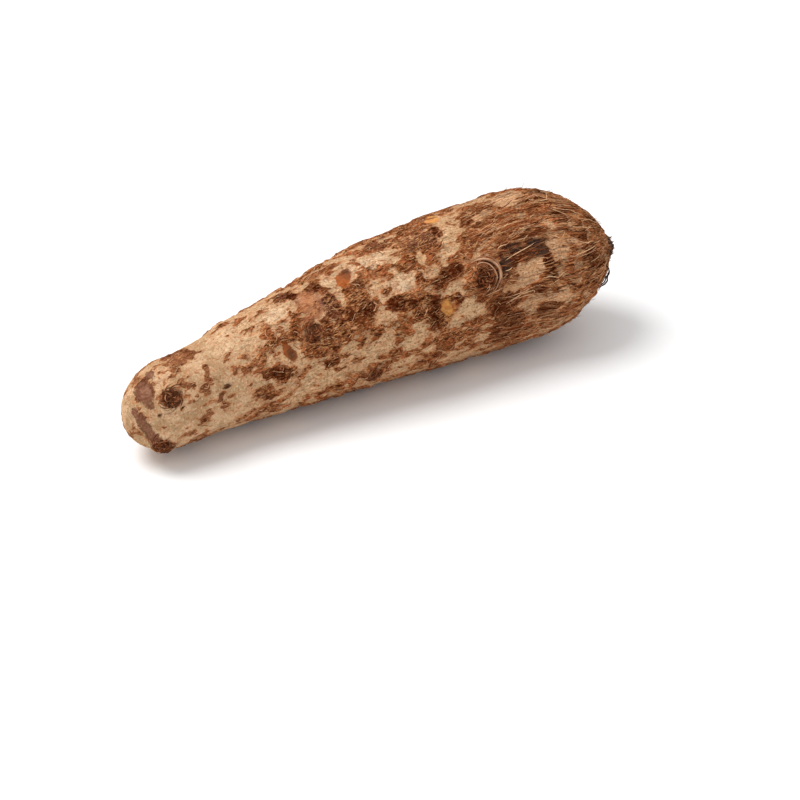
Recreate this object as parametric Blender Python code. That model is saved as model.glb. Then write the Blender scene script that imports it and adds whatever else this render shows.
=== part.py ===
# Taro: one whole corm, lying on its side on a small flat spot.
# The corm grew as one piece, so its eyes, leaf-scar rings, bark plates and fibres are all one solid.
# It is modelled in metres, +Z up. Its long axis runs along X, with the leaf crown at the +X end.
# The origin is under the middle of the corm, on the surface that it lies on.
import math
import random

import bmesh
import bpy
import numpy as np
from mathutils import Vector, noise

# Every length below is in millimetres until the mesh is made
MM = 0.001

# Driving dimensions
HALF_LENGTH = 123.0
BUTT_CAP = 24.0
CROWN_CAP = 47.0
BUTT_ROUNDNESS = 0.5
CROWN_ROUNDNESS = 0.74

# Stations along the corm: x, sideways offset of the centre, gap under the belly, radius
STATIONS = np.array((
    (-HALF_LENGTH, -11.0, 2.6, 19.4),
    (-99.0, -8.5, 1.6, 19.8),
    (-67.0, -4.5, 2.6, 21.0),
    (-40.0, -2.5, 1.8, 24.8),
    (-9.0, -1.0, 1.3, 28.2),
    (22.0, 0.0, 0.0, 30.9),
    (52.0, 1.0, -0.5, 32.5),
    (76.0, 0.0, 1.6, 33.0),
    (99.0, -4.0, 2.0, 33.4),
    (HALF_LENGTH, -10.0, 3.4, 32.4),
))

# Mesh density: rings from butt to crown, points round each ring, and samples that measure the skin
RINGS = 74
SEGMENTS = 72
SKIN_SAMPLES = 4001
# The small step, in millimetres or radians, over which a normal is measured
NORMAL_STEP = 0.02
# Points closer to the flat cut than this, in metres, snap to it
CUT_MERGE = 1e-6
# Edges sharper than this many degrees stay crisp when the corm is shaded
SHARP_ANGLE = 50.0

# Where in the noise each relief is read, so that none repeats another
LUMP_SHIFT = 3.1
WANDER_SHIFT = 11.0
FADE_SHIFT = 27.0
PLATE_SHIFT = 23.0
RIDGE_SHIFT = 41.0

# Broad swellings of the flesh, and what is left of them underneath
LUMP_SIZE = 42.0
LUMP_HEIGHT = 2.2
UNDERSIDE_CALM = 0.25

# Leaf-scar rings: the first ring, its distance to the next, and how the distances shrink to the crown
FIRST_RING_X = -86.0
FIRST_RING_PITCH = 19.0
RING_PITCH_SHRINK = 0.93
RING_COUNT = 19
RING_WIDTH = 2.4
RING_HEIGHT = 0.9
# A ring slopes off more gently towards the butt, by this many times its width
RING_BACK_SLOPE = 2.5
# How far a ring wanders from a true circle, over what distance, and how it leans
RING_WANDER = 3.0
RING_WANDER_SIZE = 30.0
RING_LEAN = 1.5
RING_LEAN_TURN = 2.4
# Noise of this size fades the rings in and out round the corm: out at the first value, full at the second
RING_FADE_SIZE = 36.0
RING_FADE = (-0.35, 0.4)

# Bark plates: papery outer skin that is left standing on the paler skin
PLATE_LENGTH = 17.0
PLATE_WIDTH = 10.0
PLATE_HEIGHT = 0.7
PLATE_EDGE = 0.16
# The share of noise that stays bare skin changes between these two places along the corm
BARE_FROM_X = -100.0
BARE_TO_X = 60.0
BARE_AT_BUTT = 0.24
BARE_AT_CROWN = -0.10

# Sheath ridges that run into the crown: how many fall in one radian, and where they start and are full
RIDGES_PER_RADIAN = 3.4
RIDGE_LENGTH = 40.0
RIDGE_HEIGHT = 1.3
RIDGES_FROM_X = 50.0
RIDGES_FULL_X = 103.0
RIDGE_CREST = 0.5
RIDGE_SHARPNESS = 2.0

# Eyes (side buds): x, angle from the top towards the front in degrees, radius, height
EYES = (
    (49.0, 55.0, 7.0, 2.8),
    (-34.0, 47.0, 5.5, 1.7),
    (-106.0, 41.0, 5.5, 1.5),
    (-111.5, 118.0, 7.0, 2.8),
    (10.0, -78.0, 6.0, 1.9),
    (-60.0, -112.0, 5.5, 1.6),
    (82.0, -58.0, 6.0, 2.0),
    (84.0, -140.0, 5.5, 1.6),
    (-8.0, 112.0, 5.0, 1.5),
)
# The moat round an eye: its depth, and its place and width as shares of the eye's radius
MOAT_DEPTH = 0.7
MOAT_PLACE = 1.35
MOAT_WIDTH = 0.35
# The collar of the first eye. It rises between two directions: 0 is across the corm, 1 towards the crown
COLLAR_HEIGHT = 1.3
COLLAR_GAP = 2.4
COLLAR_WIDTH = 1.6
COLLAR_RISES = (-0.1, 0.5)

# Soft swellings, and dips where the height is negative: x, angle, radius, height
SWELLINGS = (
    (-30.0, 19.0, 13.0, 1.6),
    (-62.0, -38.0, 7.0, 1.6),
    (30.0, -150.0, 12.0, 1.5),
    (-42.0, -40.0, 10.0, 1.3),
    (11.0, -36.0, 12.0, 1.5),
    (94.0, -14.0, 11.0, 1.1),
    (-19.0, -30.0, 9.0, -1.1),
    (33.0, -26.0, 9.0, -1.2),
    (-92.0, 132.0, 13.0, -1.6),
)

# Shallow scars where small offsets broke off: x, angle, radius, depth
SCARS = (
    (-9.7, 6.0, 4.5, 0.8),
    (-47.7, 53.0, 4.5, 0.8),
    (42.0, -12.0, 4.0, 0.6),
    (29.2, 71.0, 5.0, 0.8),
    (-76.0, -85.0, 4.5, 0.8),
    (26.0, -120.0, 5.0, 0.8),
)

# Stout fibres of the old leaf sheaths, half sunk in the crown: ranges of length, place and rise
FIBRE_COUNT = 34
FIBRE_SIDES = 4
FIBRE_RADIUS = 1.0
FIBRE_LENGTHS = (8.0, 13.0)
FIBRE_X = (76.0, 110.0)
FIBRE_RISE = (1.8, 2.8)
FIBRE_SINK = 1.2
# A fibre bends here: the shares of its radius, length and rise that it has at the bend
BEND_RADIUS = 0.75
BEND_LENGTH = 0.55
BEND_RISE = 0.3
# Fibres follow each other round the crown by the golden angle, give or take this share of it
GOLDEN_TURN = (3 - math.sqrt(5)) / 2
FIBRE_STRAY = 0.3
# No fibre is rooted lower than this, so that the corm rests on its flat spot alone
FIBRE_LOWEST = 8.0
SEED = 7

# The crown's point, and the ring round it where the ridges fade out
TIP_RADIUS = 8.0
TIP_HEIGHT = 0.8
TIP_FADE = (3.0, 16.0)

BARK_COLOUR = (0.30, 0.17, 0.09, 1.0)
BARK_ROUGHNESS = 0.85


def along(x, column):
    """A smooth cubic curve through one column of the stations."""
    xs, ys = STATIONS[:, 0], STATIONS[:, column]
    slopes = np.gradient(ys, xs)
    i = np.clip(np.searchsorted(xs, x) - 1, 0, len(xs) - 2)
    span = xs[i + 1] - xs[i]
    t = (x - xs[i]) / span
    start = (2 * t**3 - 3 * t**2 + 1) * ys[i] + (t**3 - 2 * t**2 + t) * span * slopes[i]
    end = (-2 * t**3 + 3 * t**2) * ys[i + 1] + (t**3 - t**2) * span * slopes[i + 1]
    return start + end


def radius(x):
    """The smooth radius at x, which both ends round off."""
    into_butt = np.clip((BUTT_CAP - HALF_LENGTH - x) / BUTT_CAP, 0, 1)
    into_crown = np.clip((x - HALF_LENGTH + CROWN_CAP) / CROWN_CAP, 0, 1)
    return along(x, 3) * (1 - into_butt**2) ** BUTT_ROUNDNESS * (1 - into_crown**2) ** CROWN_ROUNDNESS


def smooth_point(x, angle):
    """The point at x and angle on the corm without relief. Angle 0 is the top, a quarter turn the front."""
    r = radius(x)
    y = along(x, 1) - r * np.sin(angle)
    z = along(x, 3) + along(x, 2) + r * np.cos(angle)
    return np.stack([x + 0 * angle, y, z], -1)


def even_rings():
    """The x of each ring, in equal steps along the skin, so that the ends are meshed as finely."""
    x = -HALF_LENGTH * np.cos(np.linspace(0, math.pi, SKIN_SAMPLES))
    skin = np.concatenate([[0], np.cumsum(np.hypot(np.diff(x), np.diff(radius(x))))])
    return np.interp(np.linspace(0, skin[-1], RINGS + 2)[1:-1], skin, x)


def step(value, low, high):
    """0 below low, 1 above high, and a smooth rise between."""
    t = np.clip((value - low) / (high - low), 0, 1)
    return t * t * (3 - 2 * t)


def bump(away, width, power):
    """A bell that is 1 at its middle and falls off over width. A higher power makes its top flatter."""
    return np.exp(-np.abs(away / width) ** power)


def cloud(points, octaves, shift):
    """Smooth fractal noise at each point, roughly from -1 to 1."""
    offset = Vector((shift, shift, shift))
    flat = points.reshape(-1, 3)
    values = [noise.fractal(Vector(p) + offset, 1.0, 2.0, octaves) for p in flat]
    return np.array(values).reshape(points.shape[:-1])


def lumps(grown, angle):
    """Broad swellings, calmed on the underside so that the corm lies steadily."""
    under = step(-np.cos(angle), 0.0, 1.0)
    return LUMP_HEIGHT * cloud(grown / LUMP_SIZE, 2, LUMP_SHIFT) * (1 - under * (1 - UNDERSIDE_CALM))


def leaf_scars(x, angle, grown):
    """Faint rings where the leaves were attached. Each one wanders round the corm, and fades in and out."""
    wander = RING_WANDER * cloud(grown / RING_WANDER_SIZE, 1, WANDER_SHIFT)
    strength = step(cloud(grown / RING_FADE_SIZE, 1, FADE_SHIFT), *RING_FADE)
    height = 0 * angle
    ring_x = FIRST_RING_X
    pitch = FIRST_RING_PITCH
    for k in range(RING_COUNT):
        away = x - ring_x - wander - RING_LEAN * np.sin(angle + RING_LEAN_TURN * k)
        width = RING_WIDTH * np.where(away > 0, 1.0, RING_BACK_SLOPE)
        height = np.maximum(height, bump(away, width, 2))
        ring_x += pitch
        pitch *= RING_PITCH_SHRINK
    return RING_HEIGHT * strength * height


def bark_plates(x, grown):
    """Plates of papery skin, rare at the butt and close together at the crown."""
    stretch = np.array([1 / PLATE_LENGTH, 1 / PLATE_WIDTH, 1 / PLATE_WIDTH])
    bare = BARE_AT_BUTT + (BARE_AT_CROWN - BARE_AT_BUTT) * step(x, BARE_FROM_X, BARE_TO_X)
    return PLATE_HEIGHT * step(cloud(grown * stretch, 2, PLATE_SHIFT), bare, bare + PLATE_EDGE)


def distance(points, x, degrees):
    """How far each point is from the place on the smooth corm at x and an angle in degrees."""
    return np.linalg.norm(points - smooth_point(np.array(x), np.radians(degrees)), axis=-1)


def eyes(points):
    """Side buds: a low dome in a shallow moat. The largest has a raised collar on its crown side."""
    height = 0
    for k, (x, degrees, size, rise) in enumerate(EYES):
        away = distance(points, x, degrees)
        moat = bump(away - MOAT_PLACE * size, MOAT_WIDTH * size, 2)
        height = height + rise * bump(away, size, 4) - MOAT_DEPTH * moat
        if k == 0:
            towards_crown = step((points[..., 0] - x) / (away + 1), *COLLAR_RISES)
            collar = bump(away - size - COLLAR_GAP, COLLAR_WIDTH, 2)
            height = height + COLLAR_HEIGHT * collar * towards_crown
    return height


def swellings(points):
    """Soft swellings, less the scars where offsets broke off."""
    height = 0
    for x, degrees, size, rise in SWELLINGS:
        height = height + rise * bump(distance(points, x, degrees), size, 2)
    for x, degrees, size, depth in SCARS:
        height = height - depth * bump(distance(points, x, degrees), size, 4)
    return height


def crown_ridges(x, angle, points):
    """Ridges of the old leaf sheaths, which run together into the crown's point."""
    turn = RIDGES_PER_RADIAN * np.stack([np.sin(angle), np.cos(angle)], -1) + 0 * x[..., None]
    stretched = np.concatenate([(x / RIDGE_LENGTH + 0 * angle)[..., None], turn], -1)
    ridge = RIDGE_CREST - RIDGE_SHARPNESS * np.abs(cloud(stretched, 1, RIDGE_SHIFT))
    away = distance(points, HALF_LENGTH, 0.0)
    fade = step(x, RIDGES_FROM_X, RIDGES_FULL_X) * step(away, *TIP_FADE)
    return RIDGE_HEIGHT * fade * ridge + TIP_HEIGHT * bump(away, TIP_RADIUS, 2)


def outward(x, angle):
    """Unit normals of the corm without its relief."""
    low = np.maximum(x - NORMAL_STEP, -HALF_LENGTH)
    high = np.minimum(x + NORMAL_STEP, HALF_LENGTH)
    lengthwise = smooth_point(high, angle) - smooth_point(low, angle)
    around = smooth_point(x, angle + NORMAL_STEP) - smooth_point(x, angle - NORMAL_STEP)
    normal = np.cross(around, lengthwise)
    return normal / np.linalg.norm(normal, axis=-1, keepdims=True)


def corm_surface(x, angle):
    """The finished skin on a grid of x and angle, and its smooth normals."""
    points = smooth_point(x, angle)
    normal = outward(x, angle)
    r = radius(x)
    grown = np.stack([x + 0 * angle, r * np.sin(angle), r * np.cos(angle)], -1)
    height = lumps(grown, angle) + leaf_scars(x, angle, grown) + bark_plates(x, grown)
    height = height + eyes(points) + swellings(points) + crown_ridges(x, angle, points)
    return points + normal * height[..., None], normal


def corm_mesh():
    """One closed skin of quads, with a fan of triangles at each end, cut level where the corm rests."""
    x = even_rings()[:, None]
    angle = (np.arange(SEGMENTS) * 2 * math.pi / SEGMENTS)[None, :]
    points, _ = corm_surface(x, angle)
    bm = bmesh.new()
    rings = [[bm.verts.new(p * MM) for p in ring] for ring in points]
    butt = bm.verts.new(smooth_point(np.array(-HALF_LENGTH), np.array(0.0)) * MM)
    crown_point = smooth_point(np.array(HALF_LENGTH), np.array(0.0)) + np.array((TIP_HEIGHT, 0, 0))
    crown = bm.verts.new(crown_point * MM)
    for j in range(SEGMENTS):
        k = (j + 1) % SEGMENTS
        bm.faces.new((butt, rings[0][k], rings[0][j]))
        bm.faces.new((crown, rings[-1][j], rings[-1][k]))
        for near, far in zip(rings, rings[1:]):
            bm.faces.new((near[j], near[k], far[k], far[j]))
    cut_flat_spot(bm)
    bmesh.ops.triangulate(bm, faces=[f for f in bm.faces if len(f.verts) == 4])
    return bm


def cut_flat_spot(bm):
    """Takes off what reaches below the surface that the corm lies on, and closes the cut."""
    everything = list(bm.verts) + list(bm.edges) + list(bm.faces)
    level = {"plane_co": (0, 0, 0), "plane_no": (0, 0, 1)}
    bmesh.ops.bisect_plane(bm, geom=everything, dist=CUT_MERGE, clear_inner=True, **level)
    rim = [e for e in bm.edges if e.is_boundary]
    bmesh.ops.holes_fill(bm, edges=rim)


def bark_material():
    material = bpy.data.materials.new("taro_bark")
    material.use_nodes = True
    shader = material.node_tree.nodes["Principled BSDF"]
    shader.inputs["Base Color"].default_value = BARK_COLOUR
    shader.inputs["Roughness"].default_value = BARK_ROUGHNESS
    shader.inputs["Metallic"].default_value = 0.0
    return material


def object_of(bm, name, collection):
    mesh = bpy.data.meshes.new(name)
    bm.to_mesh(mesh)
    bm.free()
    made = bpy.data.objects.new(name, mesh)
    collection.objects.link(made)
    return made


def fibre_mesh(root, middle, tip):
    """A slim tapering fibre, bent once, from root through middle to tip."""
    bm = bmesh.new()
    loops = []
    direction = Vector(tip - root).normalized()
    side = direction.orthogonal().normalized()
    other = direction.cross(side)
    for centre, size in ((root, FIBRE_RADIUS), (middle, BEND_RADIUS * FIBRE_RADIUS)):
        corners = []
        for k in range(FIBRE_SIDES):
            turn = 2 * math.pi * k / FIBRE_SIDES
            corner = Vector(centre) + size * (math.cos(turn) * side + math.sin(turn) * other)
            corners.append(bm.verts.new(corner * MM))
        loops.append(corners)
    point = bm.verts.new(Vector(tip) * MM)
    bm.faces.new(loops[0][::-1])
    for j in range(FIBRE_SIDES):
        k = (j + 1) % FIBRE_SIDES
        bm.faces.new((loops[0][j], loops[0][k], loops[1][k], loops[1][j]))
        bm.faces.new((loops[1][j], loops[1][k], point))
    return bm


def add_crown_fibres(collection):
    """Fibres rooted well inside the crown, which lean towards its point."""
    draw = random.Random(SEED)
    for k in range(FIBRE_COUNT):
        x = draw.uniform(*FIBRE_X)
        angle = 2 * math.pi * GOLDEN_TURN * (k + draw.uniform(-FIBRE_STRAY, FIBRE_STRAY))
        length = draw.uniform(*FIBRE_LENGTHS)
        rise = draw.uniform(*FIBRE_RISE)
        patch, normals = corm_surface(np.array([[x], [x + 1.0]]), np.array([[angle]]))
        root, normal = patch[0, 0], normals[0, 0]
        if root[2] < FIBRE_LOWEST:
            continue
        lengthwise = patch[1, 0] - root
        lengthwise = lengthwise - normal * (lengthwise @ normal)
        lengthwise = lengthwise / np.linalg.norm(lengthwise)
        start = root - FIBRE_SINK * normal
        middle = start + BEND_LENGTH * length * lengthwise + BEND_RISE * rise * normal
        tip = start + length * lengthwise + rise * normal
        object_of(fibre_mesh(start, middle, tip), f"fibre_{k}", collection)


def fuse(body, collection):
    """Joins the collection's objects to the body as one solid, and removes them."""
    union = body.modifiers.new("fibres", "BOOLEAN")
    union.operation = "UNION"
    union.operand_type = "COLLECTION"
    union.collection = collection
    bpy.context.view_layer.update()
    graph = bpy.context.evaluated_depsgraph_get()
    fused = bpy.data.meshes.new_from_object(body.evaluated_get(graph))
    body.modifiers.clear()
    body.data = fused
    for made in list(collection.objects):
        bpy.data.objects.remove(made)
    bpy.data.collections.remove(collection)


def main():
    for old in list(bpy.data.objects):
        bpy.data.objects.remove(old)
    scene = bpy.context.scene.collection
    corm = object_of(corm_mesh(), "corm", scene)
    fibres = bpy.data.collections.new("fibres")
    scene.children.link(fibres)
    add_crown_fibres(fibres)
    fuse(corm, fibres)
    corm.data.materials.clear()
    corm.data.materials.append(bark_material())
    corm.data.shade_smooth()
    corm.data.set_sharp_from_angle(angle=math.radians(SHARP_ANGLE))


main()
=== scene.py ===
# %% [markdown]
# # A whole taro corm, lying on its side
# A corm is a swollen underground stem. This one is club shaped: a bare, rounded butt at one end, and a fibrous
# crown, where the leaves stood, at the other. Its tan skin is covered by ragged patches of papery brown bark.
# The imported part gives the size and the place. This script keeps its form, adds the fine relief, the bark, the
# fibres and the colours, and lays the corm on a white floor under soft light.

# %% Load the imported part
import math

import bpy
import numpy as np
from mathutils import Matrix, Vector, noise


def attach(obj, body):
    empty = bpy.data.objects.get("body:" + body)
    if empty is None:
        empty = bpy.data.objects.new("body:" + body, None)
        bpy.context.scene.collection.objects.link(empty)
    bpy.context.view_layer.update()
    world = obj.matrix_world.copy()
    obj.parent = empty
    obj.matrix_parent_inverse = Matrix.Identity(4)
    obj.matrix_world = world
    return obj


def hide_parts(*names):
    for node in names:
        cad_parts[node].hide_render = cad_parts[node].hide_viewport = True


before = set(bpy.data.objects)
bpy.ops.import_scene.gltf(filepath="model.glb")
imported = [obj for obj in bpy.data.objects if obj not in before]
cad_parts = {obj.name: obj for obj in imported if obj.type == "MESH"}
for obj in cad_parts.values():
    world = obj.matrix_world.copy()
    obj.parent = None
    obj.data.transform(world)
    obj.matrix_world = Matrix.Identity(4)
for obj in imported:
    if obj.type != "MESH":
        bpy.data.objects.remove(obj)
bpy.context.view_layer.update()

# %% [markdown]
# ## The form under the bark
# A corm has no flat faces and no exact axis, so it is described by a few stations along its length. Each one
# gives the sideways offset of the centre, the gap under the belly and the radius. A smooth cubic curve joins
# them, and both ends are rounded off. A sculpted mesh could do this too, but the stations keep the numbers of
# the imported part, so that the two forms agree everywhere. Lengths are in millimetres until a mesh is made.

# %% Stations along the corm
MM = 0.001
HALF_LENGTH = 123.0
BUTT_CAP = 24.0
CROWN_CAP = 47.0
BUTT_ROUNDNESS = 0.5
CROWN_ROUNDNESS = 0.74
STATIONS = np.array((
    (-HALF_LENGTH, -11.0, 2.6, 19.4),
    (-99.0, -8.5, 1.6, 19.8),
    (-67.0, -4.5, 2.6, 21.0),
    (-40.0, -2.5, 1.8, 24.8),
    (-9.0, -1.0, 1.3, 28.2),
    (22.0, 0.0, 0.0, 30.9),
    (52.0, 1.0, -0.5, 32.5),
    (76.0, 0.0, 1.6, 33.0),
    (99.0, -4.0, 2.0, 33.4),
    (HALF_LENGTH, -10.0, 3.4, 32.4),
))


def along(x, column):
    """A smooth cubic curve through one column of the stations."""
    xs, ys = STATIONS[:, 0], STATIONS[:, column]
    slopes = np.gradient(ys, xs)
    i = np.clip(np.searchsorted(xs, x) - 1, 0, len(xs) - 2)
    span = xs[i + 1] - xs[i]
    t = (x - xs[i]) / span
    start = (2 * t**3 - 3 * t**2 + 1) * ys[i] + (t**3 - 2 * t**2 + t) * span * slopes[i]
    end = (-2 * t**3 + 3 * t**2) * ys[i + 1] + (t**3 - t**2) * span * slopes[i + 1]
    return start + end


def radius(x):
    """The smooth radius at x, which both ends round off."""
    into_butt = np.clip((BUTT_CAP - HALF_LENGTH - x) / BUTT_CAP, 0, 1)
    into_crown = np.clip((x - HALF_LENGTH + CROWN_CAP) / CROWN_CAP, 0, 1)
    return along(x, 3) * (1 - into_butt**2) ** BUTT_ROUNDNESS * (1 - into_crown**2) ** CROWN_ROUNDNESS


def smooth_point(x, angle):
    """The point at x and angle on the corm without relief. Angle 0 is the top, a quarter turn the front."""
    r = radius(x)
    y = along(x, 1) - r * np.sin(angle)
    z = along(x, 3) + along(x, 2) + r * np.cos(angle)
    return np.stack([x + 0 * angle, y, z], -1)


print("the fullest station is", 2 * STATIONS[:, 3].max(), "mm thick")

# %% [markdown]
# ## A grid on the skin
# The skin is a grid: rings from butt to crown, and the same number of points round each ring. `reach` is the
# distance along the skin from the butt. Equal steps of it, and not of X, keep the cells nearly square on the
# round ends as well.
#
# Patterns are read from three unbent forms of the grid. `grown` has the real girth, for patterns with no
# direction. `unrolled` keeps its full girth up to the crown's point, so that fibres close up there, as the
# bark's do. `bulk` follows X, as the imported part's own formulas do.

# %% Rings, reach and the fine grid
RINGS = 318
SEGMENTS = 300
SKIN_SAMPLES = 4001
STREAKS_CLOSE_X = 80.0

profile_x = -HALF_LENGTH * np.cos(np.linspace(0, math.pi, SKIN_SAMPLES))
profile_step = np.hypot(np.diff(profile_x), np.diff(radius(profile_x)))
profile_reach = np.concatenate([[0], np.cumsum(profile_step)])
FULL_REACH = profile_reach[-1]


def reach_of(x):
    return np.interp(x, profile_x, profile_reach)


def x_of(reach):
    return np.interp(reach, profile_reach, profile_x)


ring_reach = np.linspace(0, FULL_REACH, RINGS + 2)[1:-1]
ring_gap = ring_reach[1] - ring_reach[0]
reach = ring_reach[:, None]
x = x_of(reach)
angle = (np.arange(SEGMENTS) * 2 * math.pi / SEGMENTS)[None, :]


def unbent(lengthwise, girth):
    """The grid round a straight axis."""
    return np.stack([lengthwise + 0 * angle, girth * np.sin(angle), girth * np.cos(angle)], -1)


r = radius(x)
grown = unbent(reach, r)
unrolled = unbent(reach, radius(np.minimum(x, STREAKS_CLOSE_X)))
bulk = unbent(x, r)
print("the skin measures", round(float(FULL_REACH), 1), "mm from end to end")
print("the grid has", RINGS * SEGMENTS, "points, and a ring every", round(float(ring_gap), 2), "mm")

# %% [markdown]
# ## Three shapes that every mark is made of
# A smooth step, a bell and fractal noise are enough for all the relief. `skin_distance` measures on the skin,
# lengthwise and across, and divides by a mark's half length and half width, so 1 is the mark's own edge.

# %% Helpers for marks


def step(value, low, high):
    """0 below low, 1 above high, and a smooth rise between."""
    t = np.clip((value - low) / (high - low), 0, 1)
    return t * t * (3 - 2 * t)


def bump(away, width, power):
    """A bell that is 1 at its middle and falls off over width. A higher power makes its top flatter."""
    return np.exp(-np.abs(away / width) ** power)


def cloud(points, octaves, shift):
    """Smooth fractal noise at each point, roughly from -1 to 1."""
    offset = Vector((shift, shift, shift))
    flat = points.reshape(-1, 3)
    values = [noise.fractal(Vector(p) + offset, 1.0, 2.0, octaves) for p in flat]
    return np.array(values).reshape(points.shape[:-1])


def skin_distance(reach, angle, place_x, degrees, half_length, half_width, lean=0.0):
    """Distance on the skin from a place, where 1 is the edge of an ellipse that leans by some degrees."""
    turn = (angle - math.radians(degrees) + math.pi) % (2 * math.pi) - math.pi
    forward = reach - reach_of(place_x)
    across = radius(x_of(reach)) * turn
    tilt = math.radians(lean)
    u = forward * math.cos(tilt) + across * math.sin(tilt)
    v = across * math.cos(tilt) - forward * math.sin(tilt)
    return np.hypot(u / half_length, v / half_width)


print("half way up a step is", float(step(0.5, 0, 1)))

# %% [markdown]
# ## Where the bark is
# The bark is old leaf base that has dried to paper. On the growing corm it wears away in patches, first at the
# butt, so the butt is nearly bare and the crown nearly covered. The patches and bare places of this corm's best
# side are set one by one, as a painter would. Patches are grouped by their tint, which the paint uses again.

# %% Bark marks: x, degrees from the top to the front, half length, half width, amount, and any lean
BARK_PATCHES = {
    "plain": (
        (-95.5, -20, 6.5, 3, 0.6), (-98.5, 15, 3, 4, 0.6), (-88.5, -8, 2, 5, 0.6), (-92, 26, 4, 0.8, 0.45),
        (-85.8, 29, 1.9, 2.6, 0.55), (-95.5, 37, 2.4, 2, 0.35), (-89.5, 46, 1.6, 1.5, 0.5),
        (-94, 54, 1, 1, 0.5), (-68, 5, 1.4, 3.4, 0.5), (-50, -8, 1.2, 1.4, 0.45), (-55, -14, 1.4, 1, 0.4),
        (-41.5, -8, 2.2, 2.6, 0.45), (-39.5, 16, 0.9, 2.4, 0.45), (-45, 18, 1.2, 1, 0.4),
        (-41.5, 37, 1.2, 1.5, 0.4), (-59, 46, 2.4, 2, 0.5), (-31, 66, 5.5, 3, 0.4), (-44, 80, 5, 3, 0.4),
        (-12, 25, 2.2, 1.8, 0.55), (-10.5, 33, 4, 2.8, 0.6), (2, 37, 1.7, 1.3, 0.5), (16, 23, 4.4, 2.4, 0.5),
        (-6, 71, 2.6, 2.2, 0.6), (-18, 14, 1.2, 1.4, 0.45), (31, -22, 2, 1.6, 0.5),
        (35.5, -9, 3.5, 1.8, 0.5), (21, 19, 2.8, 2.8, 0.45), (20.5, 35, 1.8, 3.8, 0.6),
        (21.5, 43, 3.4, 2.6, 0.6), (55.5, -2, 2.4, 2.2, 0.5), (49, 20, 2.8, 3, 0.55), (51, 29, 3, 1.5, 0.65),
        (90, 77, 2.4, 1.4, 0.6), (91.5, 87, 2.8, 1.8, 0.6), (100, 86, 2.4, 4.6, 0.5),
        (102.5, 56, 2.8, 2.2, 0.55), (93.5, 43, 3.8, 1.2, 0.6), (86, 12, 2.4, 1.2, 0.5),
        (85, 21, 2.2, 1.6, 0.6), (87.5, -8, 3, 4.5, 0.5), (81, 0, 1.8, 0.8, 0.8), (46.5, 62, 2.5, 3.5, 0.6),
        (98, -2, 9, 9, 0.45), (108, 20, 6, 9, 0.45), (-28, 38, 15, 15, 0.2), (-60, 12, 3, 3, 0.4),
        (-57, 36, 3.5, 3, 0.4), (-48, 41, 3, 3, 0.45), (104, 88, 7, 6, 0.35), (0, -25, 22, 6, 0.12),
        (-22, 34, 4, 9, 0.55), (-25, 56, 5, 6, 0.45), (-11, 38, 5, 9, 0.4), (-33, -2, 6, 3, 0.4),
        (-27.5, 53, 2.6, 6, 0.5), (-29.2, 51, 2.4, 5, 0.6),
    ),
    "dark": (
        (-102.5, 62, 1.8, 1.6, 0.5), (-34.5, 1, 1.8, 4, 0.55), (-25.5, 4, 5.2, 2.6, 0.7),
        (-55.5, 68, 5.5, 2.4, 0.85), (-28, 84, 4.5, 3.4, 0.7), (-6, 22, 2.8, 1.8, 0.65),
        (-16, 46, 2.8, 2.2, 0.65), (-7.5, 45, 3.2, 3.2, 0.65), (5.5, 51, 3.8, 3.2, 0.8),
        (13, 56, 2.6, 2.8, 0.7), (39.5, 5, 2.2, 4, 0.65), (28, 48, 2.8, 1.8, 0.7), (35.5, 42, 5.5, 4, 0.85),
        (55, 9, 5.5, 3.4, 0.65), (23, 60, 3.4, 3, 0.7), (21.5, 75, 4, 3.4, 0.85), (35.5, 64, 1.9, 2.6, 0.7),
        # The dark patches at 57.5 and 57 mm, under the crown, are partly the bark's own dark and partly painted
        # shade.
        (80.5, 60, 2.2, 10, 0.75), (74, 80, 4, 2.4, 0.65), (57.5, 82, 7.5, 4.8, 0.9), (57, 102, 7, 8, 0.75),
        (101, 67, 4, 3.6, 0.65), (100.5, 47, 3.6, 1.4, 0.75), (101.5, 39, 3, 0.9, 0.7),
        (92.5, -4, 2, 4, 0.7), (78, 98, 5, 3.6, 0.7), (68, 49, 11, 3, 0.85, -15),
        # Two of the dark patches, at -5.5 and -45.5 mm, are painted shade on the shaded sides of two old scars.
        (70, 40, 10, 2.4, 0.7, -12), (-5.5, -1, 1.4, 2.2, 0.5), (-45.5, 62, 1.5, 1.7, 0.5),
        (-66, 66, 5, 3, 0.45), (-50, 72, 5, 3, 0.5),
    ),
    "rust": (
        (-94, -3, 5, 6, 0.75), (-57.5, -16, 3.5, 3.4, 0.4), (-52.6, 24, 2.4, 5.6, 0.6),
        (-62, 52, 6, 3.2, 0.55), (5, 20, 4.6, 2.6, 0.5), (21.5, 16, 2.8, 4.6, 0.5), (-22, 63, 3, 2, 0.5),
        (30, 23, 2.6, 3.6, 0.6), (43, 31, 6, 2.4, 0.45), (46.5, 69, 2.4, 4, 0.5), (66, 22, 6.5, 6, 0.55),
        (57.5, 37, 3.4, 3.4, 0.45), (90, 68, 4.2, 3.4, 0.5), (94.5, 55, 2.8, 1.4, 0.45),
        (-66, 34, 4, 3, 0.45), (-70, 50, 3.5, 3, 0.4), (70, 22, 12, 9, 0.5), (88, 22, 8, 7, 0.4),
        (97, 8, 8, 8, 0.3), (106, 74, 5, 8, 0.45), (102, 96, 6, 9, 0.45), (92, 104, 6, 6, 0.4),
    ),
    "purple": (
        (-38, -14, 2.6, 2.4, 0.55), (-22, 30, 3, 7, 0.5), (-47, 26, 2.4, 1.6, 0.6), (13, -14, 5, 4.5, 0.35),
        (31, 3, 7.5, 5, 0.6), (93, 33, 3.2, 2.8, 0.6), (97, 13, 1.6, 3.2, 0.5), (60.5, 60, 3.2, 2.4, 0.55),
        (76, 30, 4, 2.5, 0.4), (63.5, 43, 4, 2.6, 0.5), (69, 50, 4, 3, 0.5), (-37, -6, 3, 3.6, 0.6),
        (-34, 3, 1.8, 4, 0.6),
    ),
}
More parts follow.
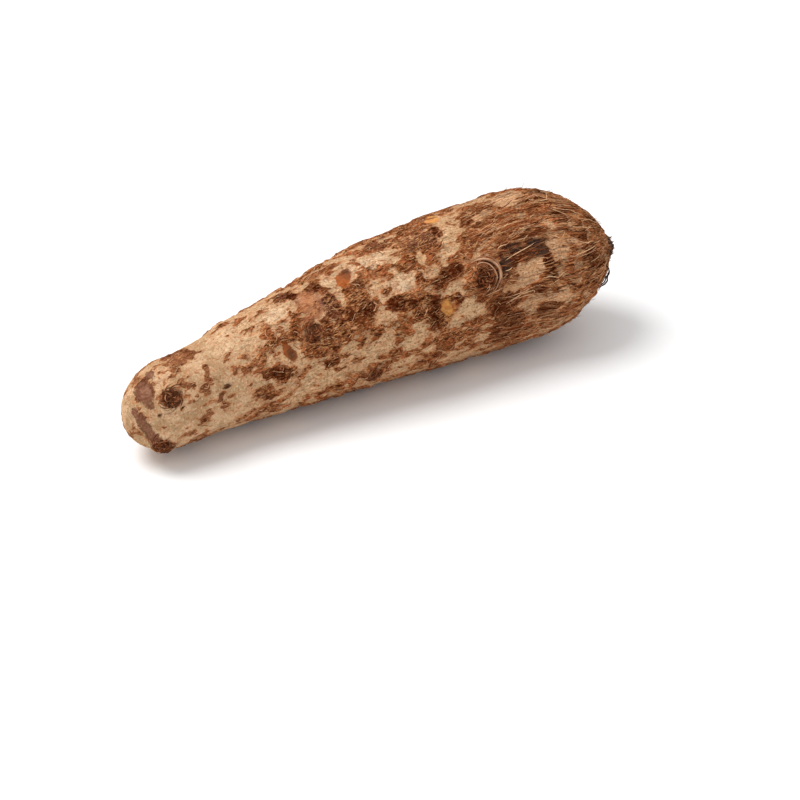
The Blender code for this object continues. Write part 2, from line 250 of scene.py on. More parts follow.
BARE_MARKS = (
    (-76, 10, 9, 12, 0.35), (-74, 66, 12, 9, 0.25), (-104, 60, 12, 11, 0.4), (-45.2, 7, 5, 4.6, 0.5),
    (-48, 58, 6, 6, 0.3), (-17, 6, 3.4, 3.8, 0.6), (-16, 25, 1.3, 4, 0.55), (7, 2, 6.5, 4, 0.65),
    (0.5, 33, 3.2, 3.4, 0.5), (12, 37, 6.5, 3.6, 0.65), (0.5, 58, 4, 2.4, 0.5), (25.8, 19, 2.3, 3.8, 0.6),
    (49.5, -9, 3.6, 6.5, 0.75), (44.5, 4, 2.8, 5.5, 0.7), (40, 16, 2.8, 4.4, 0.7), (37.5, 26, 2.6, 2.6, 0.6),
    (25.5, 38, 2.6, 1.6, 0.5), (32.5, 54, 4.2, 2.6, 0.6), (38.8, 53, 1.8, 2.6, 0.5), (40, 77, 4, 4.5, 0.55),
    (78, -2, 6.5, 7, 0.85), (77.5, 18, 2.6, 3.4, 0.6), (88, 34, 3.4, 2.6, 0.6), (85.5, 50, 3.6, 4.6, 0.5),
    (71, 65, 5.5, 5, 0.6), (83, 86, 6.5, 5.5, 0.42), (70, 94, 5, 5, 0.36), (-112, 140, 10, 16, 0.4),
    (-47.5, 53, 4.4, 6.4, 0.7), (-10.2, 7, 4.6, 7.4, 0.6, 46), (12, 12, 5, 2.6, 0.4),
)
patch_counts = {tint: len(patches) for tint, patches in BARK_PATCHES.items()}
print("patches by hand:", patch_counts, "and bare places:", len(BARE_MARKS))

# %% [markdown]
# ### The bark field
# The field is above zero where bark is left. Broad plates and small chips of noise scatter it, and it sinks
# towards the butt. The low side of the back, on which the corm lay in the soil, keeps a little more. The marks
# are added last. Noise pushes their outlines in and out, because torn bark has no smooth edge.

# %% Bark field
PLATE_LENGTH = 17.0
PLATE_WIDTH = 10.0
PLATE_SHIFT = 23.0
PLATE_AMOUNT = 0.8
CHIP_LENGTH = 5.6
CHIP_WIDTH = 3.2
CHIP_SHIFT = 31.0
CHIP_AMOUNT = 0.85
SOIL_DEGREES = 215.0
SOIL_FADE = (-0.2, 0.6)
SOIL_ALONG = (-70.0, 0.0)
SOIL_BARK = 0.14
MARK_AMOUNT = 1.5
MARK_FLATNESS = 3
BARE_FROM_X = -100.0
BARE_TO_X = 85.0
BARE_AT_BUTT = 0.34
BARE_AT_CROWN = 0.0
MARK_RAGGED = 0.55
MARK_RAGGED_SIZE = 3.0
MARK_SHIFT = 57.0


def stretched(points, length, width):
    return points * np.array([1 / length, 1 / width, 1 / width])


ragged = MARK_RAGGED * cloud(grown / MARK_RAGGED_SIZE, 3, MARK_SHIFT)
bare = BARE_AT_BUTT + (BARE_AT_CROWN - BARE_AT_BUTT) * step(x, BARE_FROM_X, BARE_TO_X)
bark = PLATE_AMOUNT * cloud(stretched(bulk, PLATE_LENGTH, PLATE_WIDTH), 2, PLATE_SHIFT) - bare
bark = bark + CHIP_AMOUNT * cloud(stretched(grown, CHIP_LENGTH, CHIP_WIDTH), 3, CHIP_SHIFT)
soil_side = step(np.cos(angle - math.radians(SOIL_DEGREES)), *SOIL_FADE) * step(x, *SOIL_ALONG)
bark = bark + SOIL_BARK * soil_side
bark_marks = [patch for patches in BARK_PATCHES.values() for patch in patches]
for sign, marks in ((1, bark_marks), (-1, BARE_MARKS)):
    for place_x, degrees, half_length, half_width, amount, *lean in marks:
        away = skin_distance(reach, angle, place_x, degrees, half_length, half_width, *lean) + ragged
        bark = bark + sign * MARK_AMOUNT * amount * bump(np.maximum(away, 0), 1.0, MARK_FLATNESS)
print("bark covers", round(100 * float((bark > 0).mean())), "% of the grid")

# %% [markdown]
# ## Eyes, swellings and scars
# Side buds, which growers call eyes, are low domes in a shallow moat. The largest has a raised collar on its
# crown side, where its own first leaf was. Scars are shallow dents where small side corms broke off, and they
# show orange flesh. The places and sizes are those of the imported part.

# %% Eyes, swellings and scars: x, degrees, radius, height or depth. The large eye is the first
EYES = (
    (49.0, 55.0, 7.0, 2.8),
    (-34.0, 47.0, 5.5, 1.7),
    (-106.0, 41.0, 5.5, 1.5),
    (-111.5, 118.0, 7.0, 2.8),
    (10.0, -78.0, 6.0, 1.9),
    (-60.0, -112.0, 5.5, 1.6),
    (82.0, -58.0, 6.0, 2.0),
    (84.0, -140.0, 5.5, 1.6),
    (-8.0, 112.0, 5.0, 1.5),
)
LARGE_EYE_X, LARGE_EYE_DEGREES = EYES[0][:2]
MOAT_DEPTH = 0.7
MOAT_PLACE = 1.35
MOAT_WIDTH = 0.35
COLLAR_HEIGHT = 1.3
COLLAR_GAP = 2.4
COLLAR_WIDTH = 1.6
COLLAR_RISES = (-0.1, 0.5)
SWELLINGS = (
    (-30.0, 19.0, 13.0, 1.6),
    (-62.0, -38.0, 7.0, 1.6),
    (30.0, -150.0, 12.0, 1.5),
    (-42.0, -40.0, 10.0, 1.3),
    (11.0, -36.0, 12.0, 1.5),
    (94.0, -14.0, 11.0, 1.1),
    (-19.0, -30.0, 9.0, -1.1),
    (33.0, -26.0, 9.0, -1.2),
    (-92.0, 132.0, 13.0, -1.6),
)
SCARS = (
    (-9.7, 6.0, 4.5, 0.8),
    (-47.7, 53.0, 4.5, 0.8),
    (42.0, -12.0, 4.0, 0.6),
    (29.2, 71.0, 5.0, 0.8),
    (-76.0, -85.0, 4.5, 0.8),
    (26.0, -120.0, 5.0, 0.8),
)


def distance(points, place_x, degrees):
    """How far each point is from the place on the smooth corm at x and an angle in degrees."""
    return np.linalg.norm(points - smooth_point(np.array(place_x), np.radians(degrees)), axis=-1)


def eye_relief(points):
    height = 0
    for k, (place_x, degrees, size, rise) in enumerate(EYES):
        away = distance(points, place_x, degrees)
        moat = bump(away - MOAT_PLACE * size, MOAT_WIDTH * size, 2)
        height = height + rise * bump(away, size, 4) - MOAT_DEPTH * moat
        if k == 0:
            towards_crown = step((points[..., 0] - place_x) / (away + 1), *COLLAR_RISES)
            collar = bump(away - size - COLLAR_GAP, COLLAR_WIDTH, 2)
            height = height + COLLAR_HEIGHT * collar * towards_crown
    return height


def swelling_relief(points):
    height = 0
    for place_x, degrees, size, rise in SWELLINGS:
        height = height + rise * bump(distance(points, place_x, degrees), size, 2)
    for place_x, degrees, size, depth in SCARS:
        height = height - depth * bump(distance(points, place_x, degrees), size, 4)
    return height


print("the corm has", len(EYES), "eyes,", len(SWELLINGS), "swellings or hollows and", len(SCARS), "scars")

# %% [markdown]
# ## Lumps, leaf scars and crown ridges
# The flesh swells unevenly. Each fallen leaf left a faint ring, and the rings stand closer towards the crown.
# Near the crown the old sheaths leave ridges that run together into its point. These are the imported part's own
# formulas, evaluated on sixteen times as many points.

# %% Broad relief
LUMP_SIZE = 42.0
LUMP_HEIGHT = 2.2
LUMP_SHIFT = 3.1
UNDERSIDE_CALM = 0.25
FIRST_RING_X = -86.0
FIRST_RING_PITCH = 19.0
RING_PITCH_SHRINK = 0.93
RING_COUNT = 19
RING_WIDTH = 2.4
RING_HEIGHT = 0.9
RING_BACK_SLOPE = 2.5
RING_WANDER = 3.0
RING_WANDER_SIZE = 30.0
RING_LEAN = 1.5
RING_LEAN_TURN = 2.4
WANDER_SHIFT = 11.0
RING_FADE_SIZE = 36.0
RING_FADE = (-0.35, 0.4)
FADE_SHIFT = 27.0
RIDGES_PER_RADIAN = 3.4
RIDGE_LENGTH = 40.0
RIDGE_HEIGHT = 1.3
RIDGE_SHIFT = 41.0
RIDGES_FROM_X = 50.0
RIDGES_FULL_X = 103.0
RIDGE_CREST = 0.5
RIDGE_SHARPNESS = 2.0
TIP_RADIUS = 8.0
TIP_HEIGHT = 0.8
TIP_FADE = (3.0, 16.0)


def lumps(bulk, angle):
    """Broad swellings, calmed on the underside so that the corm lies steadily."""
    under = step(-np.cos(angle), 0.0, 1.0)
    return LUMP_HEIGHT * cloud(bulk / LUMP_SIZE, 2, LUMP_SHIFT) * (1 - under * (1 - UNDERSIDE_CALM))


def leaf_scars(x, angle, bulk):
    """Faint rings where the leaves were attached. Each one wanders round the corm, and fades in and out."""
    wander = RING_WANDER * cloud(bulk / RING_WANDER_SIZE, 1, WANDER_SHIFT)
    strength = step(cloud(bulk / RING_FADE_SIZE, 1, FADE_SHIFT), *RING_FADE)
    height = 0 * angle
    ring_x = FIRST_RING_X
    pitch = FIRST_RING_PITCH
    for k in range(RING_COUNT):
        away = x - ring_x - wander - RING_LEAN * np.sin(angle + RING_LEAN_TURN * k)
        width = RING_WIDTH * np.where(away > 0, 1.0, RING_BACK_SLOPE)
        height = np.maximum(height, bump(away, width, 2))
        ring_x += pitch
        pitch *= RING_PITCH_SHRINK
    return RING_HEIGHT * strength * height


def crown_ridges(x, angle, points):
    """Ridges of the old leaf sheaths, which run together into the crown's point."""
    turn = RIDGES_PER_RADIAN * np.stack([np.sin(angle), np.cos(angle)], -1) + 0 * x[..., None]
    lines = np.concatenate([(x / RIDGE_LENGTH + 0 * angle)[..., None], turn], -1)
    ridge = RIDGE_CREST - RIDGE_SHARPNESS * np.abs(cloud(lines, 1, RIDGE_SHIFT))
    away = distance(points, HALF_LENGTH, 0.0)
    fade = step(x, RIDGES_FROM_X, RIDGES_FULL_X) * step(away, *TIP_FADE)
    return RIDGE_HEIGHT * fade * ridge + TIP_HEIGHT * bump(away, TIP_RADIUS, 2)


print("up to", RING_COUNT, "leaf-scar rings, the first at", FIRST_RING_X, "mm")

# %% [markdown]
# ## Fine relief: the bark's thickness and its fibres
# Bark stands about half a millimetre proud, with a fairly steep edge, and long fibres raise fine ridges in it.
# The bare skin is grained like cork. Both are real height in the mesh, and the materials add what is finer.

# %% Fine relief
NORMAL_STEP = 0.02
BARK_HEIGHT = 0.55
BARK_EDGE = 0.13
BUTT_BARK = 0.35
BUTT_WORN = (-112.0, -88.0)
FIBRE_RIDGE_HEIGHT = 0.32
FIBRE_RIDGE_LENGTH = 12.0
FIBRE_RIDGE_WIDTH = 1.5
FIBRE_RIDGE_SHIFT = 71.0
GRAIN_HEIGHT = 0.16
GRAIN_SIZE = 2.6
GRAIN_SHIFT = 83.0


def outward(x, angle):
    """Unit normals of the corm without its relief."""
    low = np.maximum(x - NORMAL_STEP, -HALF_LENGTH)
    high = np.minimum(x + NORMAL_STEP, HALF_LENGTH)
    lengthwise = smooth_point(high, angle) - smooth_point(low, angle)
    around = smooth_point(x, angle + NORMAL_STEP) - smooth_point(x, angle - NORMAL_STEP)
    normal = np.cross(around, lengthwise)
    return normal / np.linalg.norm(normal, axis=-1, keepdims=True)


smooth = smooth_point(x, angle)
normals = outward(x, angle)
bark_cover = step(bark, 0.0, BARK_EDGE)
ridge_field = cloud(stretched(unrolled, FIBRE_RIDGE_LENGTH, FIBRE_RIDGE_WIDTH), 2, FIBRE_RIDGE_SHIFT)
fibre_ridges = FIBRE_RIDGE_HEIGHT * ridge_field
grain = GRAIN_HEIGHT * cloud(grown / GRAIN_SIZE, 2, GRAIN_SHIFT)
height = lumps(bulk, angle) + leaf_scars(x, angle, bulk) + crown_ridges(x, angle, smooth)
height = height + eye_relief(smooth) + swelling_relief(smooth)
worn_thin = BUTT_BARK + (1 - BUTT_BARK) * step(x, *BUTT_WORN)
height = height + bark_cover * worn_thin * (BARK_HEIGHT + fibre_ridges) + (1 - bark_cover) * grain
skin = smooth + normals * height[..., None]
skin[..., 2] = np.maximum(skin[..., 2], 0)
print("relief runs from", round(float(height.min()), 2), "to", round(float(height.max()), 2), "mm")

# %% [markdown]
# ## Painted fields
# The colours follow fields that are stored on the mesh beside the bark field: the tints of the bark, old and
# fresh scars and the shade in them, the black stain beside the large eye, the smooth purple patches of the butt,
# the rubbed swelling, cream places, and the dark felt of the eyes and of a few small pits. Each is painted from
# listed marks.

# %% Colour marks: x, degrees, half length, half width, amount, and any lean
OLD_SCARS = ((-10.2, 7, 3.4, 6.4, 1.0, 46), (-47, 54, 2.5, 4.9, 1.25, -20), (-76, -85, 3.4, 3.0, 1.0))
SCAR_SHADE = ((-7.4, 0, 3.0, 4.4, 1.0), (-46.2, 58, 2.6, 5.0, 1.0), (-75, -90, 2.4, 2.4, 1.0))
FRESH_SCARS = ((43.5, -17, 3.8, 3.2, 1.0), (29.3, 69, 3, 4, 1.0), (26, -120, 3.8, 3.0, 1.0))
STAIN_MARKS = (
    (60.5, 52, 4.6, 3.4, 1.0, -25), (67, 42, 4.4, 2.6, 0.75), (78, 51, 4.8, 2.8, 0.8),
    (78, 43, 4.8, 2.4, 0.75), (118.6, 75, 3, 3, 0.7),
)
SMOOTH_MARKS = (
    (-114, 12, 5.0, 7.4, 1.0), (-108.3, -4, 2.4, 3, 0.95), (-114.5, 42, 2, 2.4, 0.7),
    (-120.8, 40, 2.2, 3, 0.85), (-120, 64, 2.8, 4, 0.9), (-118.8, 90, 3.4, 4, 0.9),
    (-117, 104, 3.4, 3.2, 0.9), (-114.6, 108, 3.6, 3.2, 0.85), (-112, 112, 3.6, 3, 0.85),
)
SWELL_MARKS = ((-30, 19, 6.2, 7.4, 1.0), (-33.5, 31, 3.6, 3.6, 0.8))
SWELL_SHADE = ((-24.5, 24, 3.0, 6.0, 1.0), (-36, -6, 4, 5, 0.6))
CREAM_MARKS = (
    (-45.2, 7, 6, 6, 0.8), (1.5, 4, 10, 5.5, 1.0), (11.4, 40, 8.6, 5, 0.9), (-15, 3, 6, 4, 0.6),
    (-66, 3, 8, 8, 0.4),
)
PITS = ((-112.5, 62, 1.3, 1.3, 0.8), (-78.5, 59, 2.0, 1.2, 1.0), (-92.5, 88, 1.7, 1.3, 0.9),
        (-95.9, 58, 1.2, 1.2, 0.6))
EYE_FELT = ((49, 56, 5.2, 6.0, 0.95), (-34.5, 47, 4.5, 4.7, 0.9), (-105.5, 44, 4.8, 4.6, 1.0),
            (-111.5, 117, 5.4, 4.4, 0.9), (10, -78, 4.8, 4.8, 0.9), (-60, -112, 4.6, 4.6, 0.9),
            (82, -58, 4.8, 4.8, 0.9), (84, -140, 4.6, 4.6, 0.8), (-8, 112, 4.2, 4.2, 0.8))
COLOUR_MARKS = (
    OLD_SCARS, SCAR_SHADE, FRESH_SCARS, STAIN_MARKS, SMOOTH_MARKS, SWELL_MARKS, SWELL_SHADE, CREAM_MARKS, PITS,
    EYE_FELT,
)
print("colour marks by hand:", sum(len(marks) for marks in COLOUR_MARKS))

# %% [markdown]
# ### From marks to fields
# A field takes the strongest mark at each point. A bark tint spreads a little beyond its patches, so that the
# bark's own torn edge lies inside it. The last fields follow the place alone: the painted shade in the groove
# round the large eye, how much a point is in the crown, and how weathered it is, which the pale butt isn't.

# %% Colour fields
PAINT_SHIFT = 97.0
PAINT_RAGGED = 0.30
PAINT_RAGGED_SIZE = 3.5
TINT_SPREAD = 1.15
TINT_AMOUNT = 1.4
CREASE_RADIUS = 6.7
CREASE_WIDTH = 0.75
CREASE_SECTOR = (-0.5, 0.1)
CROWN_ALONG = (35.0, 85.0)
WEATHERED_ALONG = (-88.0, -45.0)

paint_ragged = PAINT_RAGGED * cloud(grown / PAINT_RAGGED_SIZE, 3, PAINT_SHIFT)


def painted(marks, power):
    """The strongest of the marks at each point. A higher power gives a firmer outline."""
    field = 0 * (reach + angle)
    for place_x, degrees, half_length, half_width, amount, *lean in marks:
        away = skin_distance(reach, angle, place_x, degrees, half_length, half_width, *lean) + paint_ragged
        field = np.maximum(field, amount * bump(np.maximum(away, 0), 1.0, power))
    return field


def tinted(tint):
    """The tint of the bark patches of one group, which spreads a little beyond them."""
    return np.minimum(1, TINT_AMOUNT * painted([
        (place_x, degrees, TINT_SPREAD * half_length, TINT_SPREAD * half_width, amount, *lean)
        for place_x, degrees, half_length, half_width, amount, *lean in BARK_PATCHES[tint]
    ], 3))


# Painted shade: a dark ring in the groove inside the large eye's collar, on its crown side.
eye_forward = reach - reach_of(LARGE_EYE_X)
eye_across = r * (angle - math.radians(LARGE_EYE_DEGREES))
eye_away = np.hypot(eye_forward, eye_across)
crease_shade = bump(eye_away - CREASE_RADIUS, CREASE_WIDTH, 2) * step(eye_forward / (eye_away + 0.1), *CREASE_SECTOR)
fields = {
    "bark": bark,
    "dark": tinted("dark"),
    "rust": tinted("rust"),
    "purple": np.maximum(tinted("purple"), painted(SWELL_SHADE, 2)),
    "scar": painted(OLD_SCARS, 4),
    "scar_shade": painted(SCAR_SHADE, 2),
    "fresh": painted(FRESH_SCARS, 2),
    "stain": painted(STAIN_MARKS, 3),
    "smooth": painted(SMOOTH_MARKS, 3),
    "swell": painted(SWELL_MARKS, 3),
    "cream": painted(CREAM_MARKS, 2),
    "felt": np.maximum(painted(EYE_FELT, 3), painted(PITS, 2)),
    "crease_shade": crease_shade,
    "crown": step(x, *CROWN_ALONG) + 0 * angle,
    "weathered": step(x, *WEATHERED_ALONG) + 0 * angle,
}
print("painted", ", ".join(fields))

# %% [markdown]
# ## The corm's mesh
# The grid is closed into one skin: quads between the rings, and a fan of triangles at each end. The mesh is
# filled in one call, which is far quicker than adding a hundred thousand faces one by one. Fields go on as
# attributes, which materials read by name, so no image is needed.

# %% Build the corm


def add_fields(mesh, values):
    """Stores each list of numbers, or of vectors, on the mesh's points."""
    for name, value in values.items():
        kind = "FLOAT_VECTOR" if value.ndim == 2 else "FLOAT"
        layer = mesh.attributes.new(name, kind, "POINT")
        layer.data.foreach_set("vector" if value.ndim == 2 else "value", value.astype(np.float32).ravel())


def object_from(name, points, faces, values):
    """A smooth-shaded mesh object from points in millimetres."""
    mesh = bpy.data.meshes.new(name)
    mesh.from_pydata((points * MM).tolist(), [], faces)
    add_fields(mesh, values)
    mesh.shade_smooth()
    made = bpy.data.objects.new(name, mesh)
    bpy.context.scene.collection.objects.link(made)
    return made


def with_ends(field, at_butt, at_crown):
    """The grid's values in a row, followed by those of the two end points."""
    rows = field.reshape(RINGS * SEGMENTS, -1)
    rows = np.concatenate([rows, np.atleast_2d(at_butt), np.atleast_2d(at_crown)])
    return rows if rows.shape[1] > 1 else rows[:, 0]


def end_values(field):
    """Means of the first and last ring, for the end points."""
    return with_ends(field, field[0].mean(0), field[-1].mean(0))


butt_point = smooth_point(np.array(-HALF_LENGTH), np.array(0.0)) + np.array((-height[0].mean(), 0, 0))
crown_point = smooth_point(np.array(HALF_LENGTH), np.array(0.0)) + np.array((height[-1].mean(), 0, 0))
near = np.arange(RINGS - 1)[:, None] * SEGMENTS + np.arange(SEGMENTS)[None, :]
near_next = np.arange(RINGS - 1)[:, None] * SEGMENTS + (np.arange(SEGMENTS)[None, :] + 1) % SEGMENTS
quads = np.stack([near, near_next, near_next + SEGMENTS, near + SEGMENTS], -1).reshape(-1, 4).tolist()
BUTT_INDEX = RINGS * SEGMENTS
CROWN_INDEX = BUTT_INDEX + 1
LAST_RING = (RINGS - 1) * SEGMENTS
fans = []
for j in range(SEGMENTS):
    k = (j + 1) % SEGMENTS
    fans.append((BUTT_INDEX, k, j))
    fans.append((CROWN_INDEX, LAST_RING + j, LAST_RING + k))
corm_values = {name: end_values(field) for name, field in fields.items()}
corm_values["grown"] = end_values(grown)
corm_values["unrolled"] = end_values(unrolled)
corm = object_from("whole_corm", with_ends(skin, butt_point, crown_point), quads + fans, corm_values)
print("the corm has", len(corm.data.polygons), "faces")

# %% [markdown]
# ## Strands
# Fibres peel off the bark, lie along the skin, and bristle at the crown and on the eyes. Each one is a slim
# closed ridge with three edges. All the strands of a piece are worked out together as arrays, with a row for
# each strand and a column for each point along it. Their height is measured from the same grid as the corm, so
# every fibre really touches it.

# %% Strand maker
TURN = 2 * math.pi
ABOVE_FLOOR = 0.02


def on_skin(reach, angle):
    """Points and normals of the finished skin at any reach and angle, read between the grid's points."""
    row = np.clip(reach / ring_gap - 1, 0, RINGS - 1.001)
    column = (angle / TURN * SEGMENTS) % SEGMENTS
    i, j = row.astype(int), column.astype(int) % SEGMENTS
    u, v = (row - i)[..., None], (column - np.floor(column))[..., None]
    k = (j + 1) % SEGMENTS

    def between(grid):
        near_side = grid[i, j] * (1 - v) + grid[i, k] * v
        far_side = grid[i + 1, j] * (1 - v) + grid[i + 1, k] * v
        return near_side * (1 - u) + far_side * u

    normal = between(normals)
    return between(skin), normal / np.linalg.norm(normal, axis=-1, keepdims=True)


def strand_mesh(name, reach, angle, lift, half_width, rise, tone):
    """A piece of many strands, which keeps each strand's tone for its material."""
    count, points = reach.shape
    base, normal = on_skin(reach, angle)
    base = base + normal * lift[..., None]
    forward = np.gradient(base, axis=1)
    side = np.cross(normal, forward)
    side = side / (np.linalg.norm(side, axis=-1, keepdims=True) + 1e-9) * half_width[..., None]
    corners = np.stack([base - side, base + side, base + normal * rise[..., None]], 2)
    corners[..., 2] = np.maximum(corners[..., 2], ABOVE_FLOOR)
    start = (np.arange(count) * points * 3)[:, None, None] + (np.arange(points - 1) * 3)[None, :, None]
    one = np.arange(3)[None, None, :]
    two = (one + 1) % 3
    sides = np.stack([start + one, start + one + 3, start + two + 3, start + two], -1).reshape(-1, 4)
    first = np.arange(count)[:, None] * points * 3
    caps = np.concatenate([first + np.array([[0, 1, 2]]), first + 3 * (points - 1) + np.array([[2, 1, 0]])])
    faces = sides.tolist() + caps.tolist()
    made = object_from(name, corners.reshape(-1, 3), faces, {"tone": np.repeat(tone, points * 3)})
    print(name, "has", count, "strands and", 2 * len(sides) + len(caps), "triangles")
    return made


# %% [markdown]
# ### Paths, widths and lifts
# A fibre is never ruled. It starts at a place on the skin, heads off at an angle from lengthwise, and bends
# and wobbles as it goes, less so near the crown, where the sheaths are stiff. It tapers at both ends. Its ends
# are sunk a little into the skin, and a few have one end free.

# %% Path helpers
WOBBLES = 1.3
WOBBLE_DEGREES = (4, 14)
STRAIGHTER = 0.75
STRAIGHTER_ALONG = (30, 80)
END_MARGIN = 1.0
LEAST_GIRTH = 4.0
TAPER_IN = 0.2
TAPER_OUT = 0.35


def steps_along(points):
    """A row from 0 at a strand's start to 1 at its end."""
    return np.linspace(0, 1, points)[None, :]


def strand_paths(draw, start_reach, start_angle, heading, length, bend, points, wobble=WOBBLE_DEGREES):
    """Reach and angle along strands. Heading, bend and wobble are in degrees."""
    t = steps_along(points)
    wave = draw.uniform(0, TURN, (len(length), 1))
    limp = 1 - STRAIGHTER * step(x_of(start_reach), *STRAIGHTER_ALONG)
    swing = draw.uniform(*wobble, (len(length), 1)) * limp[:, None]
    way = np.radians(heading[:, None] + bend[:, None] * t + swing * np.sin(TURN * WOBBLES * t + wave))
    stride = length[:, None] / (points - 1)
    forward = np.cumsum(np.cos(way) * stride, 1) - np.cos(way[:, :1]) * stride
    across = np.cumsum(np.sin(way) * stride, 1) - np.sin(way[:, :1]) * stride
    path_reach = np.clip(start_reach[:, None] + forward, END_MARGIN, FULL_REACH - END_MARGIN)
    girth = np.maximum(radius(x_of(path_reach)), LEAST_GIRTH)
    return path_reach, start_angle[:, None] + across / girth


def tapered(points, start, end):
    """A row that is 1 in the middle of a strand and falls to some share at its start and its end."""
    t = steps_along(points)
    return np.minimum(1, np.minimum(start + t / TAPER_IN, end + (1 - t) / TAPER_OUT))


def random_width(draw, count, half_width, taper):
    return draw.uniform(*half_width, (count, 1)) * taper


def arched(draw, count, heights, t, sunk):
    """Strands that rise to some height in the middle, with both ends sunk into the skin."""
    return draw.uniform(*heights, (count, 1)) * np.sin(math.pi * t) - sunk


def free_ends(draw, count, share, heights, curve):
    """Lifts the far end of some share of the strands."""
    return (draw.random((count, 1)) < share) * draw.uniform(*heights, (count, 1)) * curve


def column(values):
    """One value for each strand."""
    return np.array(values, float)[:, None]


print("strands wobble", WOBBLES, "times along their length")

# %% [markdown]
# ### Where fibres start
# Fibres start where bark is left. Random places are tried, and one is kept where the bark field is high
# enough. Fewer are kept where the corm is narrow, and the scars, stains and smooth patches stay clear.

# %% Places on the bark
CLEAR = np.max([fields[name] for name in ("scar", "fresh", "smooth", "stain", "swell")], axis=0)
CLEAR_ABOVE = 0.3
WIDEST_RADIUS = 34.0
TRIES_EACH = 4


def value_at(grid, reach, angle):
    """A field's value at places on the skin."""
    i = np.clip((reach / ring_gap - 1).astype(int), 0, RINGS - 1)
    return grid[i, (angle / TURN * SEGMENTS).astype(int) % SEGMENTS]


def bark_places(draw, count, low_x, high_x, least):
    """Reach and angle of random places between two x where the bark field is above some value."""
    found = np.empty((2, 0))
    while found.shape[1] < count:
        try_reach = draw.uniform(reach_of(low_x), reach_of(high_x), TRIES_EACH * count)
        try_angle = draw.uniform(0, TURN, TRIES_EACH * count)
        good = draw.uniform(0, WIDEST_RADIUS, TRIES_EACH * count) < radius(x_of(try_reach))
        good &= value_at(bark, try_reach, try_angle) > least
        good &= value_at(CLEAR, try_reach, try_angle) < CLEAR_ABOVE
        found = np.concatenate([found, [try_reach[good], try_angle[good]]], axis=1)
    return found[:, :count]


print("kept clear of fibres:", round(100 * float((CLEAR > CLEAR_ABOVE).mean()), 1), "% of the grid")

# %% [markdown]
# ### Short fibres on the bark
# Thousands of short fibres make the bark look torn and dry. Most lie nearly lengthwise, sunk into the skin at
# both ends. A few have one end free. Pale ones are fresh tears, and brown ones are older, mostly where the
# skin is bare or the bark dark.

# %% Short fibres
SHORT_COUNT = 2300
SHORT_POINTS = 6
SHORT_LENGTH = (1.6, 5.4)
SHORT_LONGER = 0.5
SHORT_HALF_WIDTH = (0.05, 0.15)
SHORT_SPREAD = 32
SHORT_SPREAD_LOSS = 18
SHORT_BEND = 40
SHORT_BEND_LOSS = 0.6
TONE_OFF_BARK = 0.35
TONE_LOST_ON_DARK = 0.5

draw = np.random.default_rng(seed=11)
short_reach, short_angle = bark_places(draw, SHORT_COUNT, low_x=-112, high_x=118, least=-0.12)
near_crown = step(x_of(short_reach), 30, 90)
short_spread = SHORT_SPREAD - SHORT_SPREAD_LOSS * near_crown
short_heading = draw.normal(0, 1, SHORT_COUNT) * short_spread + 180 * (draw.random(SHORT_COUNT) < 0.5)
short_length = draw.uniform(*SHORT_LENGTH, SHORT_COUNT) * (1 + SHORT_LONGER * near_crown)
short_bend = draw.normal(0, SHORT_BEND, SHORT_COUNT) * (1 - SHORT_BEND_LOSS * near_crown)
path = strand_paths(draw, short_reach, short_angle, short_heading, short_length, short_bend, SHORT_POINTS)
t = steps_along(SHORT_POINTS)
lift = arched(draw, SHORT_COUNT, (0.02, 0.25), t, sunk=0.06)
lift = lift + free_ends(draw, SHORT_COUNT, 0.10, (0.2, 0.8), t**2)
width = random_width(draw, SHORT_COUNT, SHORT_HALF_WIDTH, tapered(SHORT_POINTS, 0.25, 0.1))
on_bark = step(value_at(bark, short_reach, short_angle), 0.05, 0.3)
on_dark = value_at(fields["dark"], short_reach, short_angle)
short_tone = draw.beta(1.5, 0.8, SHORT_COUNT) * (TONE_OFF_BARK + (1 - TONE_OFF_BARK) * on_bark)
short_tone = short_tone * (1 - TONE_LOST_ON_DARK * on_dark)
short_fibres = strand_mesh("short_fibres", *path, lift, width, 1.2 * width, short_tone)

# %% [markdown]
# ### Long fibres into the crown
# Towards the crown the leaf sheaths' fibres are long and stiff, and they run together at its point. Those that
# cross the black stain are stained too.

# %% Long fibres
LONG_COUNT = 320
LONG_POINTS = 12
LONG_LENGTH = (7.0, 22.0)
LONG_HALF_WIDTH = (0.06, 0.17)
LONG_WOBBLE = (1, 6)
LONG_SPREAD = 6
LONG_BEND = 9

draw = np.random.default_rng(seed=12)
long_reach, long_angle = bark_places(draw, LONG_COUNT, low_x=46, high_x=116, least=0.0)
long_heading = draw.normal(0, LONG_SPREAD, LONG_COUNT)
long_length = np.minimum(draw.uniform(*LONG_LENGTH, LONG_COUNT), FULL_REACH - long_reach + 1)
long_bend = draw.normal(0, LONG_BEND, LONG_COUNT)
path = strand_paths(
    draw, long_reach, long_angle, long_heading, long_length, long_bend, LONG_POINTS, LONG_WOBBLE)
t = steps_along(LONG_POINTS)
lift = arched(draw, LONG_COUNT, (0.0, 0.3), t, sunk=0.08)
lift = lift + free_ends(draw, LONG_COUNT, 0.08, (0.3, 1.2), t**3)
width = random_width(draw, LONG_COUNT, LONG_HALF_WIDTH, tapered(LONG_POINTS, 0.2, 0.08))
over_stain = [value_at(fields["stain"], path[0][:, k], path[1][:, k]) for k in range(LONG_POINTS)]
long_tone = draw.beta(1.6, 0.8, LONG_COUNT) * (1 - np.clip(np.max(over_stain, 0), 0, 1))
long_fibres = strand_mesh("long_fibres", *path, lift, width, 0.9 * width, long_tone)
